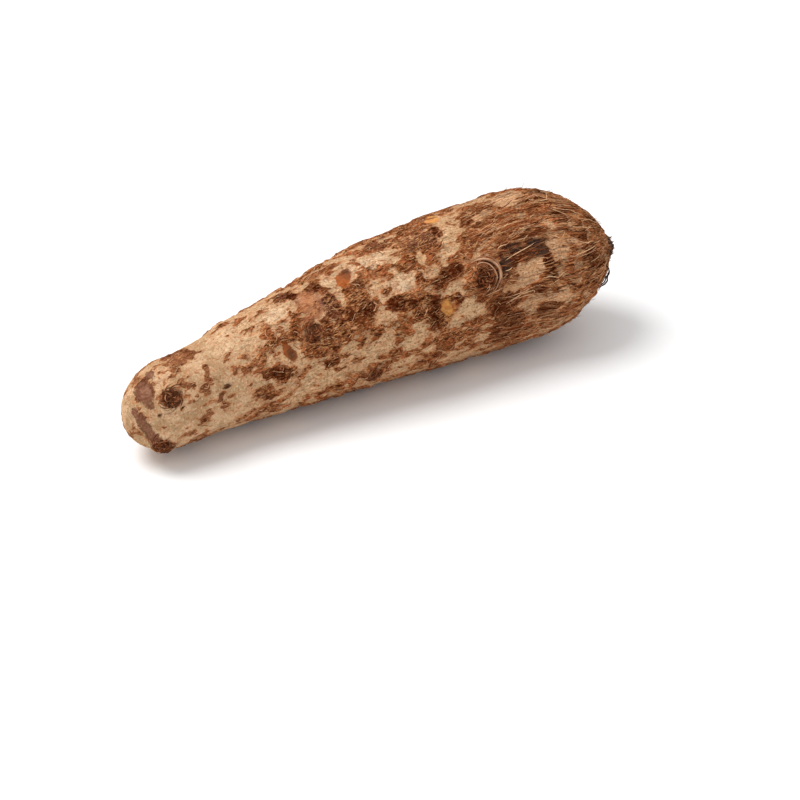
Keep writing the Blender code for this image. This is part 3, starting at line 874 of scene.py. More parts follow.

# %% [markdown]
# ### Loose pale fibres
# A few pale fibres have torn free and lie across the dark bark of the crown, where they show from a step away.
# Their two ends are listed, and a small wave between them keeps them from looking ruled.

# %% Loose fibres: x and degrees where each starts, and where it ends
LOOSE_ENDS = np.array((
    (71, 31, 82, 28), (60, 38, 68, 36), (61, 50, 79, 42.5), (60, 57, 64, 56), (90, 16, 98, 28),
    (92, 17, 105, 24), (99, 51, 104, 53), (84, 40, 92, 46), (88, 60, 99, 62), (72, 58, 80, 62),
    (63, 24, 71, 21), (96, 34, 106, 40), (76, 72, 84, 74), (83, -30, 92, -26), (70, -80, 82, -84),
    (88, -110, 99, -102),
))
LOOSE_COUNT = len(LOOSE_ENDS)
LOOSE_POINTS = 12
LOOSE_HALF_WIDTH = (0.12, 0.26)
LOOSE_WAVE = 0.35
LOOSE_WAVES = (0.6, 1.4)
LOOSE_TONE = 0.95

draw = np.random.default_rng(seed=19)
t = steps_along(LOOSE_POINTS)
waves = draw.uniform(*LOOSE_WAVES, (LOOSE_COUNT, 1))
phase = draw.uniform(0, TURN, (LOOSE_COUNT, 1))
start_x, start_degrees, end_x, end_degrees = LOOSE_ENDS.T[..., None]
loose_x = start_x + (end_x - start_x) * t
loose_degrees = start_degrees + (end_degrees - start_degrees) * t
loose_angle = np.radians(loose_degrees) + LOOSE_WAVE * np.sin(TURN * waves * t + phase) / radius(loose_x)
width = random_width(draw, LOOSE_COUNT, LOOSE_HALF_WIDTH, tapered(LOOSE_POINTS, 0.2, 0.1))
lift = arched(draw, LOOSE_COUNT, (0.1, 0.5), t, sunk=0.08)
loose_tone = np.full(LOOSE_COUNT, LOOSE_TONE)
loose_fibres = strand_mesh("loose_fibres", reach_of(loose_x), loose_angle, lift, width, width, loose_tone)

# %% [markdown]
# ### Ribbons of old sheath
# Between the fibres lie wider strips of papery sheath, still flat on the crown.

# %% Ribbons
RIBBON_COUNT = 260
RIBBON_POINTS = 9
RIBBON_LENGTH = (4.0, 13.0)
RIBBON_HALF_WIDTH = (0.16, 0.4)
RIBBON_THICKNESS = 0.16
RIBBON_SPREAD = 11
RIBBON_BEND = 22
RIBBON_TEAR = 0.3

draw = np.random.default_rng(seed=17)
ribbon_reach, ribbon_angle = bark_places(draw, RIBBON_COUNT, low_x=30, high_x=117, least=0.05)
ribbon_heading = draw.normal(0, RIBBON_SPREAD, RIBBON_COUNT)
ribbon_length = draw.uniform(*RIBBON_LENGTH, RIBBON_COUNT)
ribbon_bend = draw.normal(0, RIBBON_BEND, RIBBON_COUNT)
path = strand_paths(
    draw, ribbon_reach, ribbon_angle, ribbon_heading, ribbon_length, ribbon_bend, RIBBON_POINTS)
lift = arched(draw, RIBBON_COUNT, (-0.05, 0.2), steps_along(RIBBON_POINTS), sunk=0.04)
ragged_edge = np.clip(1 + RIBBON_TEAR * draw.normal(0, 1, (RIBBON_COUNT, RIBBON_POINTS)), 0.4, 1.6)
width = random_width(draw, RIBBON_COUNT, RIBBON_HALF_WIDTH, tapered(RIBBON_POINTS, 0.3, 0.1)) * ragged_edge
ribbon_tone = draw.beta(1.5, 1.2, RIBBON_COUNT)
sheath_ribbons = strand_mesh("sheath_ribbons", *path, lift, width, RIBBON_THICKNESS + 0.2 * width, ribbon_tone)

# %% [markdown]
# ### Hairs that stand off
# Seen against the white floor, the outline of the crown bristles with fine hairs, and a few shorter ones stand
# along the body.

# %% Standing hairs
HAIR_COUNT = 460
CROWN_HAIRS = 330
HAIR_POINTS = 8
HAIR_LENGTH = (1.8, 5.0)
BODY_HAIR_SHARE = 0.6
HAIR_HALF_WIDTH = (0.06, 0.13)
HAIR_STAND = (0.15, 0.75)
HAIR_SUNK = 0.15
HAIR_SPREAD = 30
HAIR_BEND = 50

draw = np.random.default_rng(seed=13)
crown_places = bark_places(draw, CROWN_HAIRS, low_x=78, high_x=120, least=-0.3)
body_places = bark_places(draw, HAIR_COUNT - CROWN_HAIRS, low_x=-70, high_x=80, least=0.0)
hair_reach, hair_angle = np.concatenate([crown_places, body_places], axis=1)
hair_length = draw.uniform(*HAIR_LENGTH, HAIR_COUNT)
hair_length[CROWN_HAIRS:] *= BODY_HAIR_SHARE
hair_heading = draw.normal(0, HAIR_SPREAD, HAIR_COUNT)
hair_bend = draw.normal(0, HAIR_BEND, HAIR_COUNT)
path = strand_paths(draw, hair_reach, hair_angle, hair_heading, hair_length, hair_bend, HAIR_POINTS)
rise = steps_along(HAIR_POINTS) ** 1.5
lift = hair_length[:, None] * draw.uniform(*HAIR_STAND, (HAIR_COUNT, 1)) * rise - HAIR_SUNK
width = random_width(draw, HAIR_COUNT, HAIR_HALF_WIDTH, tapered(HAIR_POINTS, 0.8, 0.15))
hair_tone = draw.beta(1.0, 2.0, HAIR_COUNT)
standing_hairs = strand_mesh("standing_hairs", *path, lift, width, 1.6 * width, hair_tone)

# %% [markdown]
# ### Felt on the eyes
# Each eye is the stub of a bud, wound round with short dark fibres like a coil of twine. Their paths are arcs
# round the middle of the eye, which wind slowly in or out, so that some ends come loose.

# %% Eye hairs
FELT_PER_EYE = 85
FELT_COUNT = FELT_PER_EYE * len(EYE_FELT)
FELT_POINTS = 9
FELT_ARC = (0.3, 1.5)
FELT_WIND = 0.7
FELT_HALF_WIDTH = (0.07, 0.19)
FELT_GIRTH = 8.0

draw = np.random.default_rng(seed=14)
felt_places = np.repeat(np.array(EYE_FELT)[:, :4], FELT_PER_EYE, axis=0)
eye_x, eye_degrees, eye_length, eye_width = felt_places.T[..., None]
t = steps_along(FELT_POINTS)
out = np.sqrt(draw.uniform(0.01, 1, (FELT_COUNT, 1)))
out = out * (1 + FELT_WIND * draw.normal(0, 1, (FELT_COUNT, 1)) * t)
way = draw.uniform(0, TURN, (FELT_COUNT, 1)) + draw.uniform(*FELT_ARC, (FELT_COUNT, 1)) * t
felt_reach = reach_of(eye_x) + out * eye_length * np.cos(way)
felt_angle = np.radians(eye_degrees) + out * eye_width * np.sin(way) / np.maximum(radius(eye_x), FELT_GIRTH)
lift = arched(draw, FELT_COUNT, (0.0, 0.55), t, sunk=0.1)
width = random_width(draw, FELT_COUNT, FELT_HALF_WIDTH, tapered(FELT_POINTS, 0.4, 0.1))
felt_tone = draw.beta(0.6, 1.3, FELT_COUNT)
eye_hairs = strand_mesh("eye_hairs", felt_reach, felt_angle, lift, width, 1.2 * width, felt_tone)

# %% [markdown]
# ### The collar of the large eye
# On the crown side of the large eye the rim of an old leaf stands as a few thin pale lips, one inside another.
# They are strands too, but their path is an arc round the eye.

# %% Collar lips
LIP_RADII = (5.9, 8.2, 9.4)
LIP_POINTS = 26
LIP_FROM, LIP_TO = -118, 78
LIP_HEIGHTS = (0.9, 1.5, 0.6)
LIP_HALF_WIDTHS = (0.5, 0.85, 0.3)
LIP_TONES = (0.62, 1.0, 0.5)
LIP_WAVE = 0.25
LIP_WAVES = 3.1
LIP_PHASES = (0.0, 1.7, 3.9)
LIP_SUNK = 0.25

lip_turn = np.radians(np.linspace(LIP_FROM, LIP_TO, LIP_POINTS))[None, :]
lip_radius = column(LIP_RADII) + LIP_WAVE * np.sin(LIP_WAVES * lip_turn + column(LIP_PHASES))
lip_reach = reach_of(LARGE_EYE_X) + lip_radius * np.cos(lip_turn)
lip_girth = radius(np.array(LARGE_EYE_X))
lip_angle = math.radians(LARGE_EYE_DEGREES) + lip_radius * np.sin(lip_turn) / lip_girth
lift = np.full(lip_radius.shape, -LIP_SUNK)
shape = tapered(LIP_POINTS, 0.05, 0.05)
collar_lips = strand_mesh(
    "collar_lips", lip_reach, lip_angle, lift,
    column(LIP_HALF_WIDTHS) * shape, column(LIP_HEIGHTS) * shape + LIP_SUNK, np.array(LIP_TONES),
)

# %% [markdown]
# ### The black curl at the crown
# A strip of dead sheath, almost black, has torn loose below the crown's point. It runs back along the outline in
# two strands, and the outer one arches well clear. Their paths are given.

# %% Black curl: a value for each of its two strands
CURL_POINTS = 16
CURL_START_X = (114.8, 113.2)
CURL_BACK = (8.0, 6.2)
CURL_START_DEGREES = (88, 96)
CURL_TURN_DEGREES = (24, 17)
CURL_LIFT = (0.2, 0.4)
CURL_ARCH = (0.5, 1.0)
CURL_ARCH_FROM = (0.0, 0.1)
CURL_ARCH_SHARE = (1.0, 0.75)
CURL_HALF_WIDTH = (0.6, 0.7)
CURL_TONES = (0.1, 0.3)

t = steps_along(CURL_POINTS)
curl_x = column(CURL_START_X) - column(CURL_BACK) * t
curl_degrees = column(CURL_START_DEGREES) + column(CURL_TURN_DEGREES) * t
arch = np.sin(math.pi * (column(CURL_ARCH_FROM) + column(CURL_ARCH_SHARE) * t))
lift = column(CURL_LIFT) + column(CURL_ARCH) * arch
width = column(CURL_HALF_WIDTH) * tapered(CURL_POINTS, 0.3, 0.2)
black_curl = strand_mesh(
    "black_curl", reach_of(curl_x), np.radians(curl_degrees), lift, width, 0.8 * width, np.array(CURL_TONES),
)

# %% [markdown]
# ### The crown's torn point
# The youngest sheaths end in a short grey-brown tuft at the crown's point.

# %% Crown tuft
TUFT_COUNT = 90
TUFT_POINTS = 6
TUFT_BEFORE_END = (3.0, 13.0)
TUFT_DEGREES, TUFT_DEGREES_SPREAD = 80, 45
TUFT_SPREAD = 14
TUFT_LENGTH = (2.5, 6.5)
TUFT_LIFT = (0.3, 1.7)
TUFT_SUNK = 0.15
TUFT_HALF_WIDTH = (0.14, 0.4)

draw = np.random.default_rng(seed=18)
tuft_reach = FULL_REACH - draw.uniform(*TUFT_BEFORE_END, TUFT_COUNT)
tuft_angle = np.radians(draw.normal(TUFT_DEGREES, TUFT_DEGREES_SPREAD, TUFT_COUNT))
tuft_heading = draw.normal(0, TUFT_SPREAD, TUFT_COUNT)
tuft_length = draw.uniform(*TUFT_LENGTH, TUFT_COUNT)
path = strand_paths(draw, tuft_reach, tuft_angle, tuft_heading, tuft_length, 0 * tuft_length, TUFT_POINTS)
lift = draw.uniform(*TUFT_LIFT, (TUFT_COUNT, 1)) * steps_along(TUFT_POINTS) ** 1.4 - TUFT_SUNK
width = random_width(draw, TUFT_COUNT, TUFT_HALF_WIDTH, tapered(TUFT_POINTS, 0.8, 0.15))
crown_tuft = strand_mesh("crown_tuft", *path, lift, width, width, draw.beta(1.0, 2.0, TUFT_COUNT))

# %% [markdown]
# ## Node helpers
# A material is a tree of nodes. Most of these helpers add a node or two and return an output, so that a finish
# reads like a sum. Any input may be a number, a colour or another node's output.

# %% Node helpers


def colour(red, green, blue):
    """A colour as a screen shows it, from 0 to 255, as the linear numbers that a shader reads."""
    def linear(c):
        c /= 255
        return c / 12.92 if c <= 0.04045 else ((c + 0.055) / 1.055) ** 2.4
    return (linear(red), linear(green), linear(blue), 1.0)


def node(tree, kind, values=None, **settings):
    """Adds a node. values maps a socket to a number, a colour, or another node's output to link."""
    made = tree.nodes.new(kind)
    for name, value in settings.items():
        setattr(made, name, value)
    for socket, value in (values or {}).items():
        if isinstance(value, bpy.types.NodeSocket):
            tree.links.new(value, made.inputs[socket])
        else:
            made.inputs[socket].default_value = value
    return made


def maths(tree, operation, a, b=0.0, clamp=False):
    return node(tree, "ShaderNodeMath", {0: a, 1: b}, operation=operation, use_clamp=clamp).outputs[0]


def times(tree, a, b):
    return maths(tree, "MULTIPLY", a, b)


def plus(tree, a, b, clamp=False):
    return maths(tree, "ADD", a, b, clamp)


def minus(tree, a, b):
    return maths(tree, "SUBTRACT", a, b)


def larger(tree, a, b):
    return maths(tree, "MAXIMUM", a, b)


print("a middle grey is", round(colour(128, 128, 128)[0], 3), "to a shader")

# %% [markdown]
# ### Steps, layers and noise
# Three things make up nearly every finish: a step turns a noise or a field into a mask, a mask lays one colour
# over another, and noise breaks up whatever would be too even.

# %% Steps, layers and noise


def vector_maths(tree, operation, a, b):
    """Works on vectors. To SCALE, b is a number."""
    other = "Scale" if operation == "SCALE" else 1
    return node(tree, "ShaderNodeVectorMath", {0: a, other: b}, operation=operation).outputs[0]


def rising(tree, value, low, high):
    """0 below low and 1 above high, with a smooth rise, as the mesh code's step does."""
    limits = {"Value": value, "From Min": low, "From Max": high}
    return node(tree, "ShaderNodeMapRange", limits, interpolation_type="SMOOTHSTEP").outputs["Result"]


def falling(tree, value, low, high):
    """1 below low and 0 above high."""
    return minus(tree, 1.0, rising(tree, value, low, high))


def laid(tree, under, over, mask, share=1.0):
    """The colour under, with the colour over laid on it where the mask is 1, up to some share."""
    values = {0: times(tree, mask, share), 6: under, 7: over}
    return node(tree, "ShaderNodeMix", values, data_type="RGBA").outputs[2]


def noise_at(tree, vector, detail, roughness=0.5):
    """Noise whose blotches are about one unit of the vector across."""
    values = {"Vector": vector, "Scale": 1.0, "Detail": detail, "Roughness": roughness}
    return node(tree, "ShaderNodeTexNoise", values)


def noisy(tree, vector, stretch, detail=4.0, roughness=0.6):
    """Noise in millimetres: stretch is the size of its blotches along, across and upright."""
    squeezed = vector_maths(tree, "MULTIPLY", vector, tuple(1 / s for s in stretch))
    return noise_at(tree, squeezed, detail, roughness).outputs["Fac"]


def field(tree, name, output="Fac"):
    """A field that the mesh carries."""
    return node(tree, "ShaderNodeAttribute", attribute_name=name).outputs[output]


# %% [markdown]
# ### Materials and groups
# A material ends in a shader. A group has inputs and outputs with names instead, and holds no shader.

# %% Materials and groups


def new_material(name):
    """A new material, its node tree and its shader."""
    material = bpy.data.materials.new(name)
    material.use_nodes = True
    return material, material.node_tree, material.node_tree.nodes["Principled BSDF"]


def new_group(name, inputs, outputs):
    """A shader node group with named sockets. Returns the group, its input node and its output node."""
    group = bpy.data.node_groups.new(name, "ShaderNodeTree")
    for label, kind, default in inputs:
        socket = group.interface.new_socket(label, in_out="INPUT", socket_type=kind)
        if default is not None:
            socket.default_value = default
    for label, kind in outputs:
        group.interface.new_socket(label, in_out="OUTPUT", socket_type=kind)
    return group, group.nodes.new("NodeGroupInput"), group.nodes.new("NodeGroupOutput")


FLOAT, VECTOR, COLOUR = "NodeSocketFloat", "NodeSocketVector", "NodeSocketColor"
print("groups have inputs of three kinds:", FLOAT, VECTOR, COLOUR)

# %% [markdown]
# ## Three node groups
# A node group is built once and placed wherever its effect is needed, each time with its own values. `fibre
# mat` gives fibres that run along the corm. `torn edge` frays the outline of a painted field. `colour drift`,
# which the skin and every strand use, wanders between two colours, because nothing that grew has a single one.
#
# ### Fibre mat
# Noise that is stretched along the corm looks like fibres. A second noise bends its coordinates first, so the
# fibres wander and cross. Where the noise passes its middle value runs a thin thread, and its low places are
# the gaps. Its coordinate is the unrolled skin, so the fibres close up where the crown narrows.

# %% Fibre mat group
BEND_SIZE = 3.0
FULL_WANDER = 4.0
THREAD_CORE = 0.02
THREAD_EDGE = 0.06
GAP_FULL = 0.36
GAP_NONE = 0.45
mat_group, given, result = new_group(
    "fibre mat",
    (("Vector", VECTOR, None), ("Length", FLOAT, 3.0), ("Width", FLOAT, 0.6), ("Wander", FLOAT, 1.0)),
    (("Height", FLOAT), ("Threads", FLOAT), ("Gaps", FLOAT)),
)
swirl_at = vector_maths(mat_group, "SCALE", given.outputs["Vector"], 1 / BEND_SIZE)
swirl = noise_at(mat_group, swirl_at, detail=2.0).outputs["Color"]
centred = vector_maths(mat_group, "SUBTRACT", swirl, (0.5, 0.5, 0.5))
wander = times(mat_group, given.outputs["Wander"], FULL_WANDER)
pushed = vector_maths(mat_group, "SCALE", centred, wander)
bent = vector_maths(mat_group, "ADD", given.outputs["Vector"], pushed)
per_length = maths(mat_group, "DIVIDE", 1.0, given.outputs["Length"])
per_width = maths(mat_group, "DIVIDE", 1.0, given.outputs["Width"])
squeeze = node(mat_group, "ShaderNodeCombineXYZ", {0: per_length, 1: per_width, 2: per_width}).outputs[0]
fibre_at = vector_maths(mat_group, "MULTIPLY", bent, squeeze)
mat_height = noise_at(mat_group, fibre_at, detail=3.0, roughness=0.55).outputs["Fac"]
from_middle = maths(mat_group, "ABSOLUTE", minus(mat_group, mat_height, 0.5))
for output, label in (
    (mat_height, "Height"),
    (falling(mat_group, from_middle, THREAD_CORE, THREAD_EDGE), "Threads"),
    (falling(mat_group, mat_height, GAP_FULL, GAP_NONE), "Gaps"),
):
    mat_group.links.new(output, result.inputs[label])


def fibre_mat(tree, at, length, width, wander):
    """Places the group. Its three outputs are read by name."""
    values = {"Vector": at, "Length": length, "Width": width, "Wander": wander}
    return node(tree, "ShaderNodeGroup", values, node_tree=mat_group).outputs


print("built", mat_group.name, "with", len(mat_group.nodes), "nodes")

# %% [markdown]
# ### Torn edge
# A painted field is soft. Adding fine noise before the threshold tears its outline into fibres and islands, as
# the bark's own edge is torn.

# %% Torn edge group
torn_group, given, result = new_group(
    "torn edge",
    (("Field", FLOAT, 0.0), ("Vector", VECTOR, None), ("Size", FLOAT, 2.0), ("Tear", FLOAT, 0.3),
     ("Threshold", FLOAT, 0.5), ("Softness", FLOAT, 0.1)),
    (("Mask", FLOAT),),
)


def sized(tree, given):
    """The group's vector in units of its Size."""
    per_size = maths(tree, "DIVIDE", 1.0, given.outputs["Size"])
    return vector_maths(tree, "SCALE", given.outputs["Vector"], per_size)


def around(tree, middle, softness, value):
    """Rises as the value passes the middle, over twice the softness."""
    return rising(tree, value, minus(tree, middle, softness), plus(tree, middle, softness))


tear = noise_at(torn_group, sized(torn_group, given), detail=5.0, roughness=0.7).outputs["Fac"]
push = times(torn_group, minus(torn_group, tear, 0.5), given.outputs["Tear"])
pushed_field = plus(torn_group, given.outputs["Field"], push)
mask = around(torn_group, given.outputs["Threshold"], given.outputs["Softness"], pushed_field)
torn_group.links.new(mask, result.inputs["Mask"])


def torn(tree, at, soft_field, size, tear, threshold, softness):
    """Places the group: a soft field becomes a mask with a torn outline."""
    values = {"Field": soft_field, "Vector": at, "Size": size, "Tear": tear, "Threshold": threshold,
              "Softness": softness}
    return node(tree, "ShaderNodeGroup", values, node_tree=torn_group).outputs["Mask"]


print("built", torn_group.name, "with", len(torn_group.nodes), "nodes")

# %% [markdown]
# ### Colour drift
# Two colours and broad noise between them.

# %% Drift group
drift_group, given, result = new_group(
    "colour drift",
    (("Vector", VECTOR, None), ("Size", FLOAT, 10.0), ("First", COLOUR, None), ("Second", COLOUR, None),
     ("Balance", FLOAT, 0.5), ("Softness", FLOAT, 0.15)),
    (("Color", COLOUR),),
)
broad = noise_at(drift_group, sized(drift_group, given), detail=4.0, roughness=0.6).outputs["Fac"]
share = around(drift_group, given.outputs["Balance"], given.outputs["Softness"], broad)
drifted = laid(drift_group, given.outputs["First"], given.outputs["Second"], share)
drift_group.links.new(drifted, result.inputs["Color"])


def drift(tree, at, first, second, size, balance, softness):
    """Places the group: a colour that wanders between two."""
    values = {"Vector": at, "Size": size, "First": first, "Second": second, "Balance": balance,
              "Softness": softness}
    return node(tree, "ShaderNodeGroup", values, node_tree=drift_group).outputs["Color"]


print("built", drift_group.name, "with", len(drift_group.nodes), "nodes")

# %% [markdown]
# ## The skin
# The skin is painted in the order in which it grew, one layer over another. First comes the tan cork. The bark
# lies on it, in three steps: a thin rusty film, the bark itself, and its dark heart. Threads and gaps come next,
# and last the smooth patches, the stain, the scars and the felt. The colours were matched to the real corm, in
# its own warm light.

# %% Skin colours
TAN = colour(176, 142, 106)
PALE_TAN = colour(204, 168, 132)
CREAM = colour(240, 208, 172)
KHAKI = colour(216, 174, 132)
BROWN_TAN = colour(198, 138, 100)
SPECK = colour(136, 84, 44)
BROWN_FILM = colour(196, 134, 92)
RUST_FILM = colour(180, 110, 68)
BARK = colour(152, 86, 48)
RED_BARK = colour(184, 106, 64)
DARK_BARK = colour(84, 34, 14)
PURPLE_BARK = colour(136, 90, 72)
OLD_BROWN = colour(150, 102, 72)
GAP_DARK = colour(44, 14, 0)
THREAD = colour(222, 160, 108)
SCAR_ORANGE = colour(174, 86, 32)
SCAR_YELLOW = colour(214, 156, 88)
SCAR_RED = colour(118, 50, 16)
SCAR_DARK = colour(72, 26, 6)
FRESH_ORANGE = colour(206, 128, 66)
STAIN = colour(50, 42, 38)
STAIN_BROWN = colour(104, 66, 46)
SMOOTH_BROWN = colour(140, 96, 76)
SMOOTH_EDGE = colour(94, 56, 36)
SWELL_BROWN = colour(172, 112, 80)
FELT = colour(54, 24, 12)
print("mixed the skin's colours")

# %% [markdown]
# ### What the skin's paint is read from
# On the body the fibres are short and wander. In the crown they are long and straight. Both mats are placed,
# and the crown field blends them. `cover` is the painted bark field with a coarse and a fine mat added to it,
# so that every edge is frayed and each colour is flecked with the other.

# %% Skin fields and fibres
skin_finish, tree, shader = new_material("taro_skin")
grown_at = field(tree, "grown", "Vector")
unrolled_at = field(tree, "unrolled", "Vector")
crown, weathered, dark, rust, purple = (
    field(tree, name) for name in ("crown", "weathered", "dark", "rust", "purple")
)


def into_crown(body, crown_mat, label):
    """One output of the body's mat, which turns into the crown's."""
    values = {0: crown, 2: body[label], 3: crown_mat[label]}
    return node(tree, "ShaderNodeMix", values, data_type="FLOAT").outputs[0]


def centred_noise(value, amount):
    """Noise as a push up or down: 0.5 becomes 0."""
    return times(tree, minus(tree, value, 0.5), amount)


coarse_mats = (
    fibre_mat(tree, unrolled_at, length=3.4, width=1.6, wander=0.9),
    fibre_mat(tree, unrolled_at, length=9.0, width=1.8, wander=0.5),
)
fine_mats = (
    fibre_mat(tree, unrolled_at, length=5.0, width=0.9, wander=0.55),
    fibre_mat(tree, unrolled_at, length=9.0, width=0.9, wander=0.25),
)
coarse = into_crown(*coarse_mats, "Height")
fine, threads, gaps = (into_crown(*fine_mats, label) for label in ("Height", "Threads", "Gaps"))
cork = noisy(tree, grown_at, (1.0, 1.0, 1.0), 4.0, 0.7)
cover = plus(tree, field(tree, "bark"), centred_noise(coarse, 1.3))
cover = plus(tree, cover, centred_noise(fine, 1.0))
worn_film = rising(tree, cover, -0.42, -0.16)
film = rising(tree, cover, -0.14, -0.05)
thick = rising(tree, cover, 0.0, 0.06)
heart = rising(tree, cover, 0.35, 0.6)
print("the skin reads", sum(n.type == "ATTRIBUTE" for n in tree.nodes), "fields so far")

# %% [markdown]
# ### Bare skin
# Where the bark is gone, the cork is tan, in three tones, with cream places, brown spots and a fine grain. The
# weathered side, away from the butt, is warmer and its grain stronger.

# %% Bare skin
ground = drift(tree, grown_at, TAN, PALE_TAN, size=7.0, balance=0.5, softness=0.08)
ground = laid(tree, ground, KHAKI, weathered, share=0.85)
ground = laid(tree, ground, CREAM, field(tree, "cream"), share=0.8)
worn = rising(tree, noisy(tree, grown_at, (5, 3, 3)), 0.52, 0.62)
worn = times(tree, worn, plus(tree, times(tree, weathered, 0.4), 0.25))
ground = laid(tree, ground, BROWN_TAN, larger(tree, worn, times(tree, crown, 0.42)))
spots = rising(tree, noisy(tree, grown_at, (2.0, 1.3, 1.3), 3.0), 0.6, 0.66)
ground = laid(tree, ground, RUST_FILM, spots, share=0.8)
grain_strength = plus(tree, times(tree, weathered, 0.25), 0.6)
ground = laid(tree, ground, SPECK, times(tree, falling(tree, cork, 0.36, 0.46), grain_strength))
ground = laid(tree, ground, CREAM, times(tree, rising(tree, cork, 0.55, 0.65), grain_strength))
print("painted the bare skin")

# %% [markdown]
# ### Bark
# The bark is red brown to brown, purple in places, duller at the butt, and dark where it is thick or worn. It
# lies over a rusty film that fades out on the bare skin.

# %% Bark
bark_paint = drift(tree, grown_at, RED_BARK, BARK, size=5.0, balance=0.48, softness=0.06)
bark_paint = laid(tree, bark_paint, PURPLE_BARK, purple)
bark_paint = laid(tree, bark_paint, RED_BARK, rust)
bark_paint = laid(tree, bark_paint, OLD_BROWN, minus(tree, 1.0, weathered), share=0.65)
blotches = rising(tree, noisy(tree, grown_at, (4.0, 2.2, 2.2), 3.0), 0.52, 0.6)
darkness = plus(tree, times(tree, heart, 0.6), times(tree, blotches, 0.3))
darkness = times(tree, darkness, minus(tree, 1.0, times(tree, rust, 0.7)))
# The dark tint also carries painted shade beside two old scars.
darkness = plus(tree, darkness, times(tree, dark, 0.78), clamp=True)
# Under the crown the dark tint is partly painted shade.
bark_paint = laid(tree, bark_paint, DARK_BARK, darkness)

paint = laid(tree, ground, BROWN_FILM, worn_film, share=0.5)
paint = laid(tree, paint, RUST_FILM, film, share=0.85)
paint = laid(tree, paint, bark_paint, thick)
print("painted the bark")

# %% [markdown]
# ### The smooth swelling
# One swelling by the middle of the best side has been rubbed smooth and pinkish brown, with a purple shade.

# %% Swelling
swell_mask = torn(tree, grown_at, field(tree, "swell"), size=2.2, tear=1.3, threshold=0.45, softness=0.25)
swell_colour = laid(tree, SWELL_BROWN, RUST_FILM, rising(tree, cork, 0.42, 0.6), share=0.5)
swell_colour = laid(tree, swell_colour, PURPLE_BARK, purple)
paint = laid(tree, paint, swell_colour, swell_mask, share=0.85)
print("painted the swelling")

# %% [markdown]
# ### Threads, gaps and flecks
# The bark is a mat of fibres: pale threads, dark gaps between them, and flecks of both. They show most where
# there is bark, and the threads and pale flecks less on dark bark.

# %% Threads, gaps and flecks
barkiness = plus(tree, times(tree, film, 0.6), times(tree, weathered, 0.3))
barkiness = plus(tree, barkiness, plus(tree, times(tree, crown, 0.25), 0.1), clamp=True)
on_light = minus(tree, 1.0, times(tree, dark, 0.65))
threads = times(tree, times(tree, threads, barkiness), on_light)
gaps = times(tree, gaps, barkiness)
paint = laid(tree, paint, GAP_DARK, gaps, share=0.8)
frayed = rising(tree, noisy(tree, grown_at, (6.0, 4.0, 4.0), 2.0), 0.46, 0.62)
paint = laid(tree, paint, THREAD, times(tree, threads, frayed), share=0.7)
flecks = noisy(tree, unrolled_at, (1.7, 0.5, 0.5), 3.0, 0.7)
pale_flecks = times(tree, times(tree, rising(tree, flecks, 0.56, 0.63), barkiness), on_light)
paint = laid(tree, paint, THREAD, pale_flecks, share=0.75)
paint = laid(tree, paint, GAP_DARK, times(tree, falling(tree, flecks, 0.37, 0.44), barkiness), share=0.8)
print("painted the threads, gaps and flecks")

# %% [markdown]
# ### The sheaths' lines
# In the crown the sheaths have fine lines of their own, dark and pale, which run into its point.

# %% Crown lines
lines = noisy(tree, unrolled_at, (11.0, 0.6, 0.6), 3.0, 0.65)
lined = times(tree, worn_film, crown)
paint = laid(tree, paint, GAP_DARK, times(tree, falling(tree, lines, 0.38, 0.46), lined), share=0.85)
paint = laid(tree, paint, THREAD, times(tree, rising(tree, lines, 0.56, 0.63), lined), share=0.5)
print("painted the crown's lines")

# %% [markdown]
# ### Smooth patches and stain
# The butt has smooth patches of purple brown with a darker rim and streaks. Beside the large eye the bark is
# stained black, mottled with brown.

# %% Smooth patches and stain
smooth_field = field(tree, "smooth")
smooth_mask = torn(tree, grown_at, smooth_field, size=1.3, tear=1.5, threshold=0.45, softness=0.2)
smooth_heart = torn(tree, grown_at, smooth_field, size=2.4, tear=0.9, threshold=0.8, softness=0.25)
smooth_colour = laid(tree, SMOOTH_EDGE, SMOOTH_BROWN, smooth_heart)
smooth_colour = laid(tree, smooth_colour, PURPLE_BARK, rising(tree, coarse, 0.46, 0.58), share=0.8)
smooth_colour = laid(tree, smooth_colour, SMOOTH_EDGE, rising(tree, fine, 0.5, 0.6), share=0.7)
paint = laid(tree, paint, smooth_colour, smooth_mask, share=0.92)
stain_mask = torn(tree, grown_at, field(tree, "stain"), size=1.4, tear=1.5, threshold=0.38, softness=0.28)
stain_colour = laid(tree, STAIN, STAIN_BROWN, rising(tree, fine, 0.46, 0.62))
paint = laid(tree, paint, stain_colour, stain_mask, share=0.85)
print("painted the smooth patches and the stain")

# %% [markdown]
# ### Scars
# An old scar is orange to red brown, with a shaded side that is nearly black. A fresh one is yellow orange.

# %% Scars
scar_mask = torn(tree, grown_at, field(tree, "scar"), size=1.8, tear=1.3, threshold=0.45, softness=0.2)
redness = rising(tree, noisy(tree, grown_at, (2.2, 2.2, 2.2), 4.0, 0.75), 0.4, 0.6)
scar_colour = laid(tree, SCAR_ORANGE, SCAR_RED, redness, share=0.6)
scar_colour = laid(tree, scar_colour, SCAR_DARK, field(tree, "scar_shade"))
scar_colour = laid(tree, scar_colour, SCAR_DARK, rising(tree, cork, 0.5, 0.62), share=0.4)
paint = laid(tree, paint, scar_colour, scar_mask, share=0.9)
fresh_mask = rising(tree, plus(tree, field(tree, "fresh"), centred_noise(cork, 0.7)), 0.2, 0.62)
fresh_colour = laid(tree, SCAR_YELLOW, FRESH_ORANGE, redness, share=0.8)
paint = laid(tree, paint, fresh_colour, fresh_mask, share=0.85)
print("painted the scars")
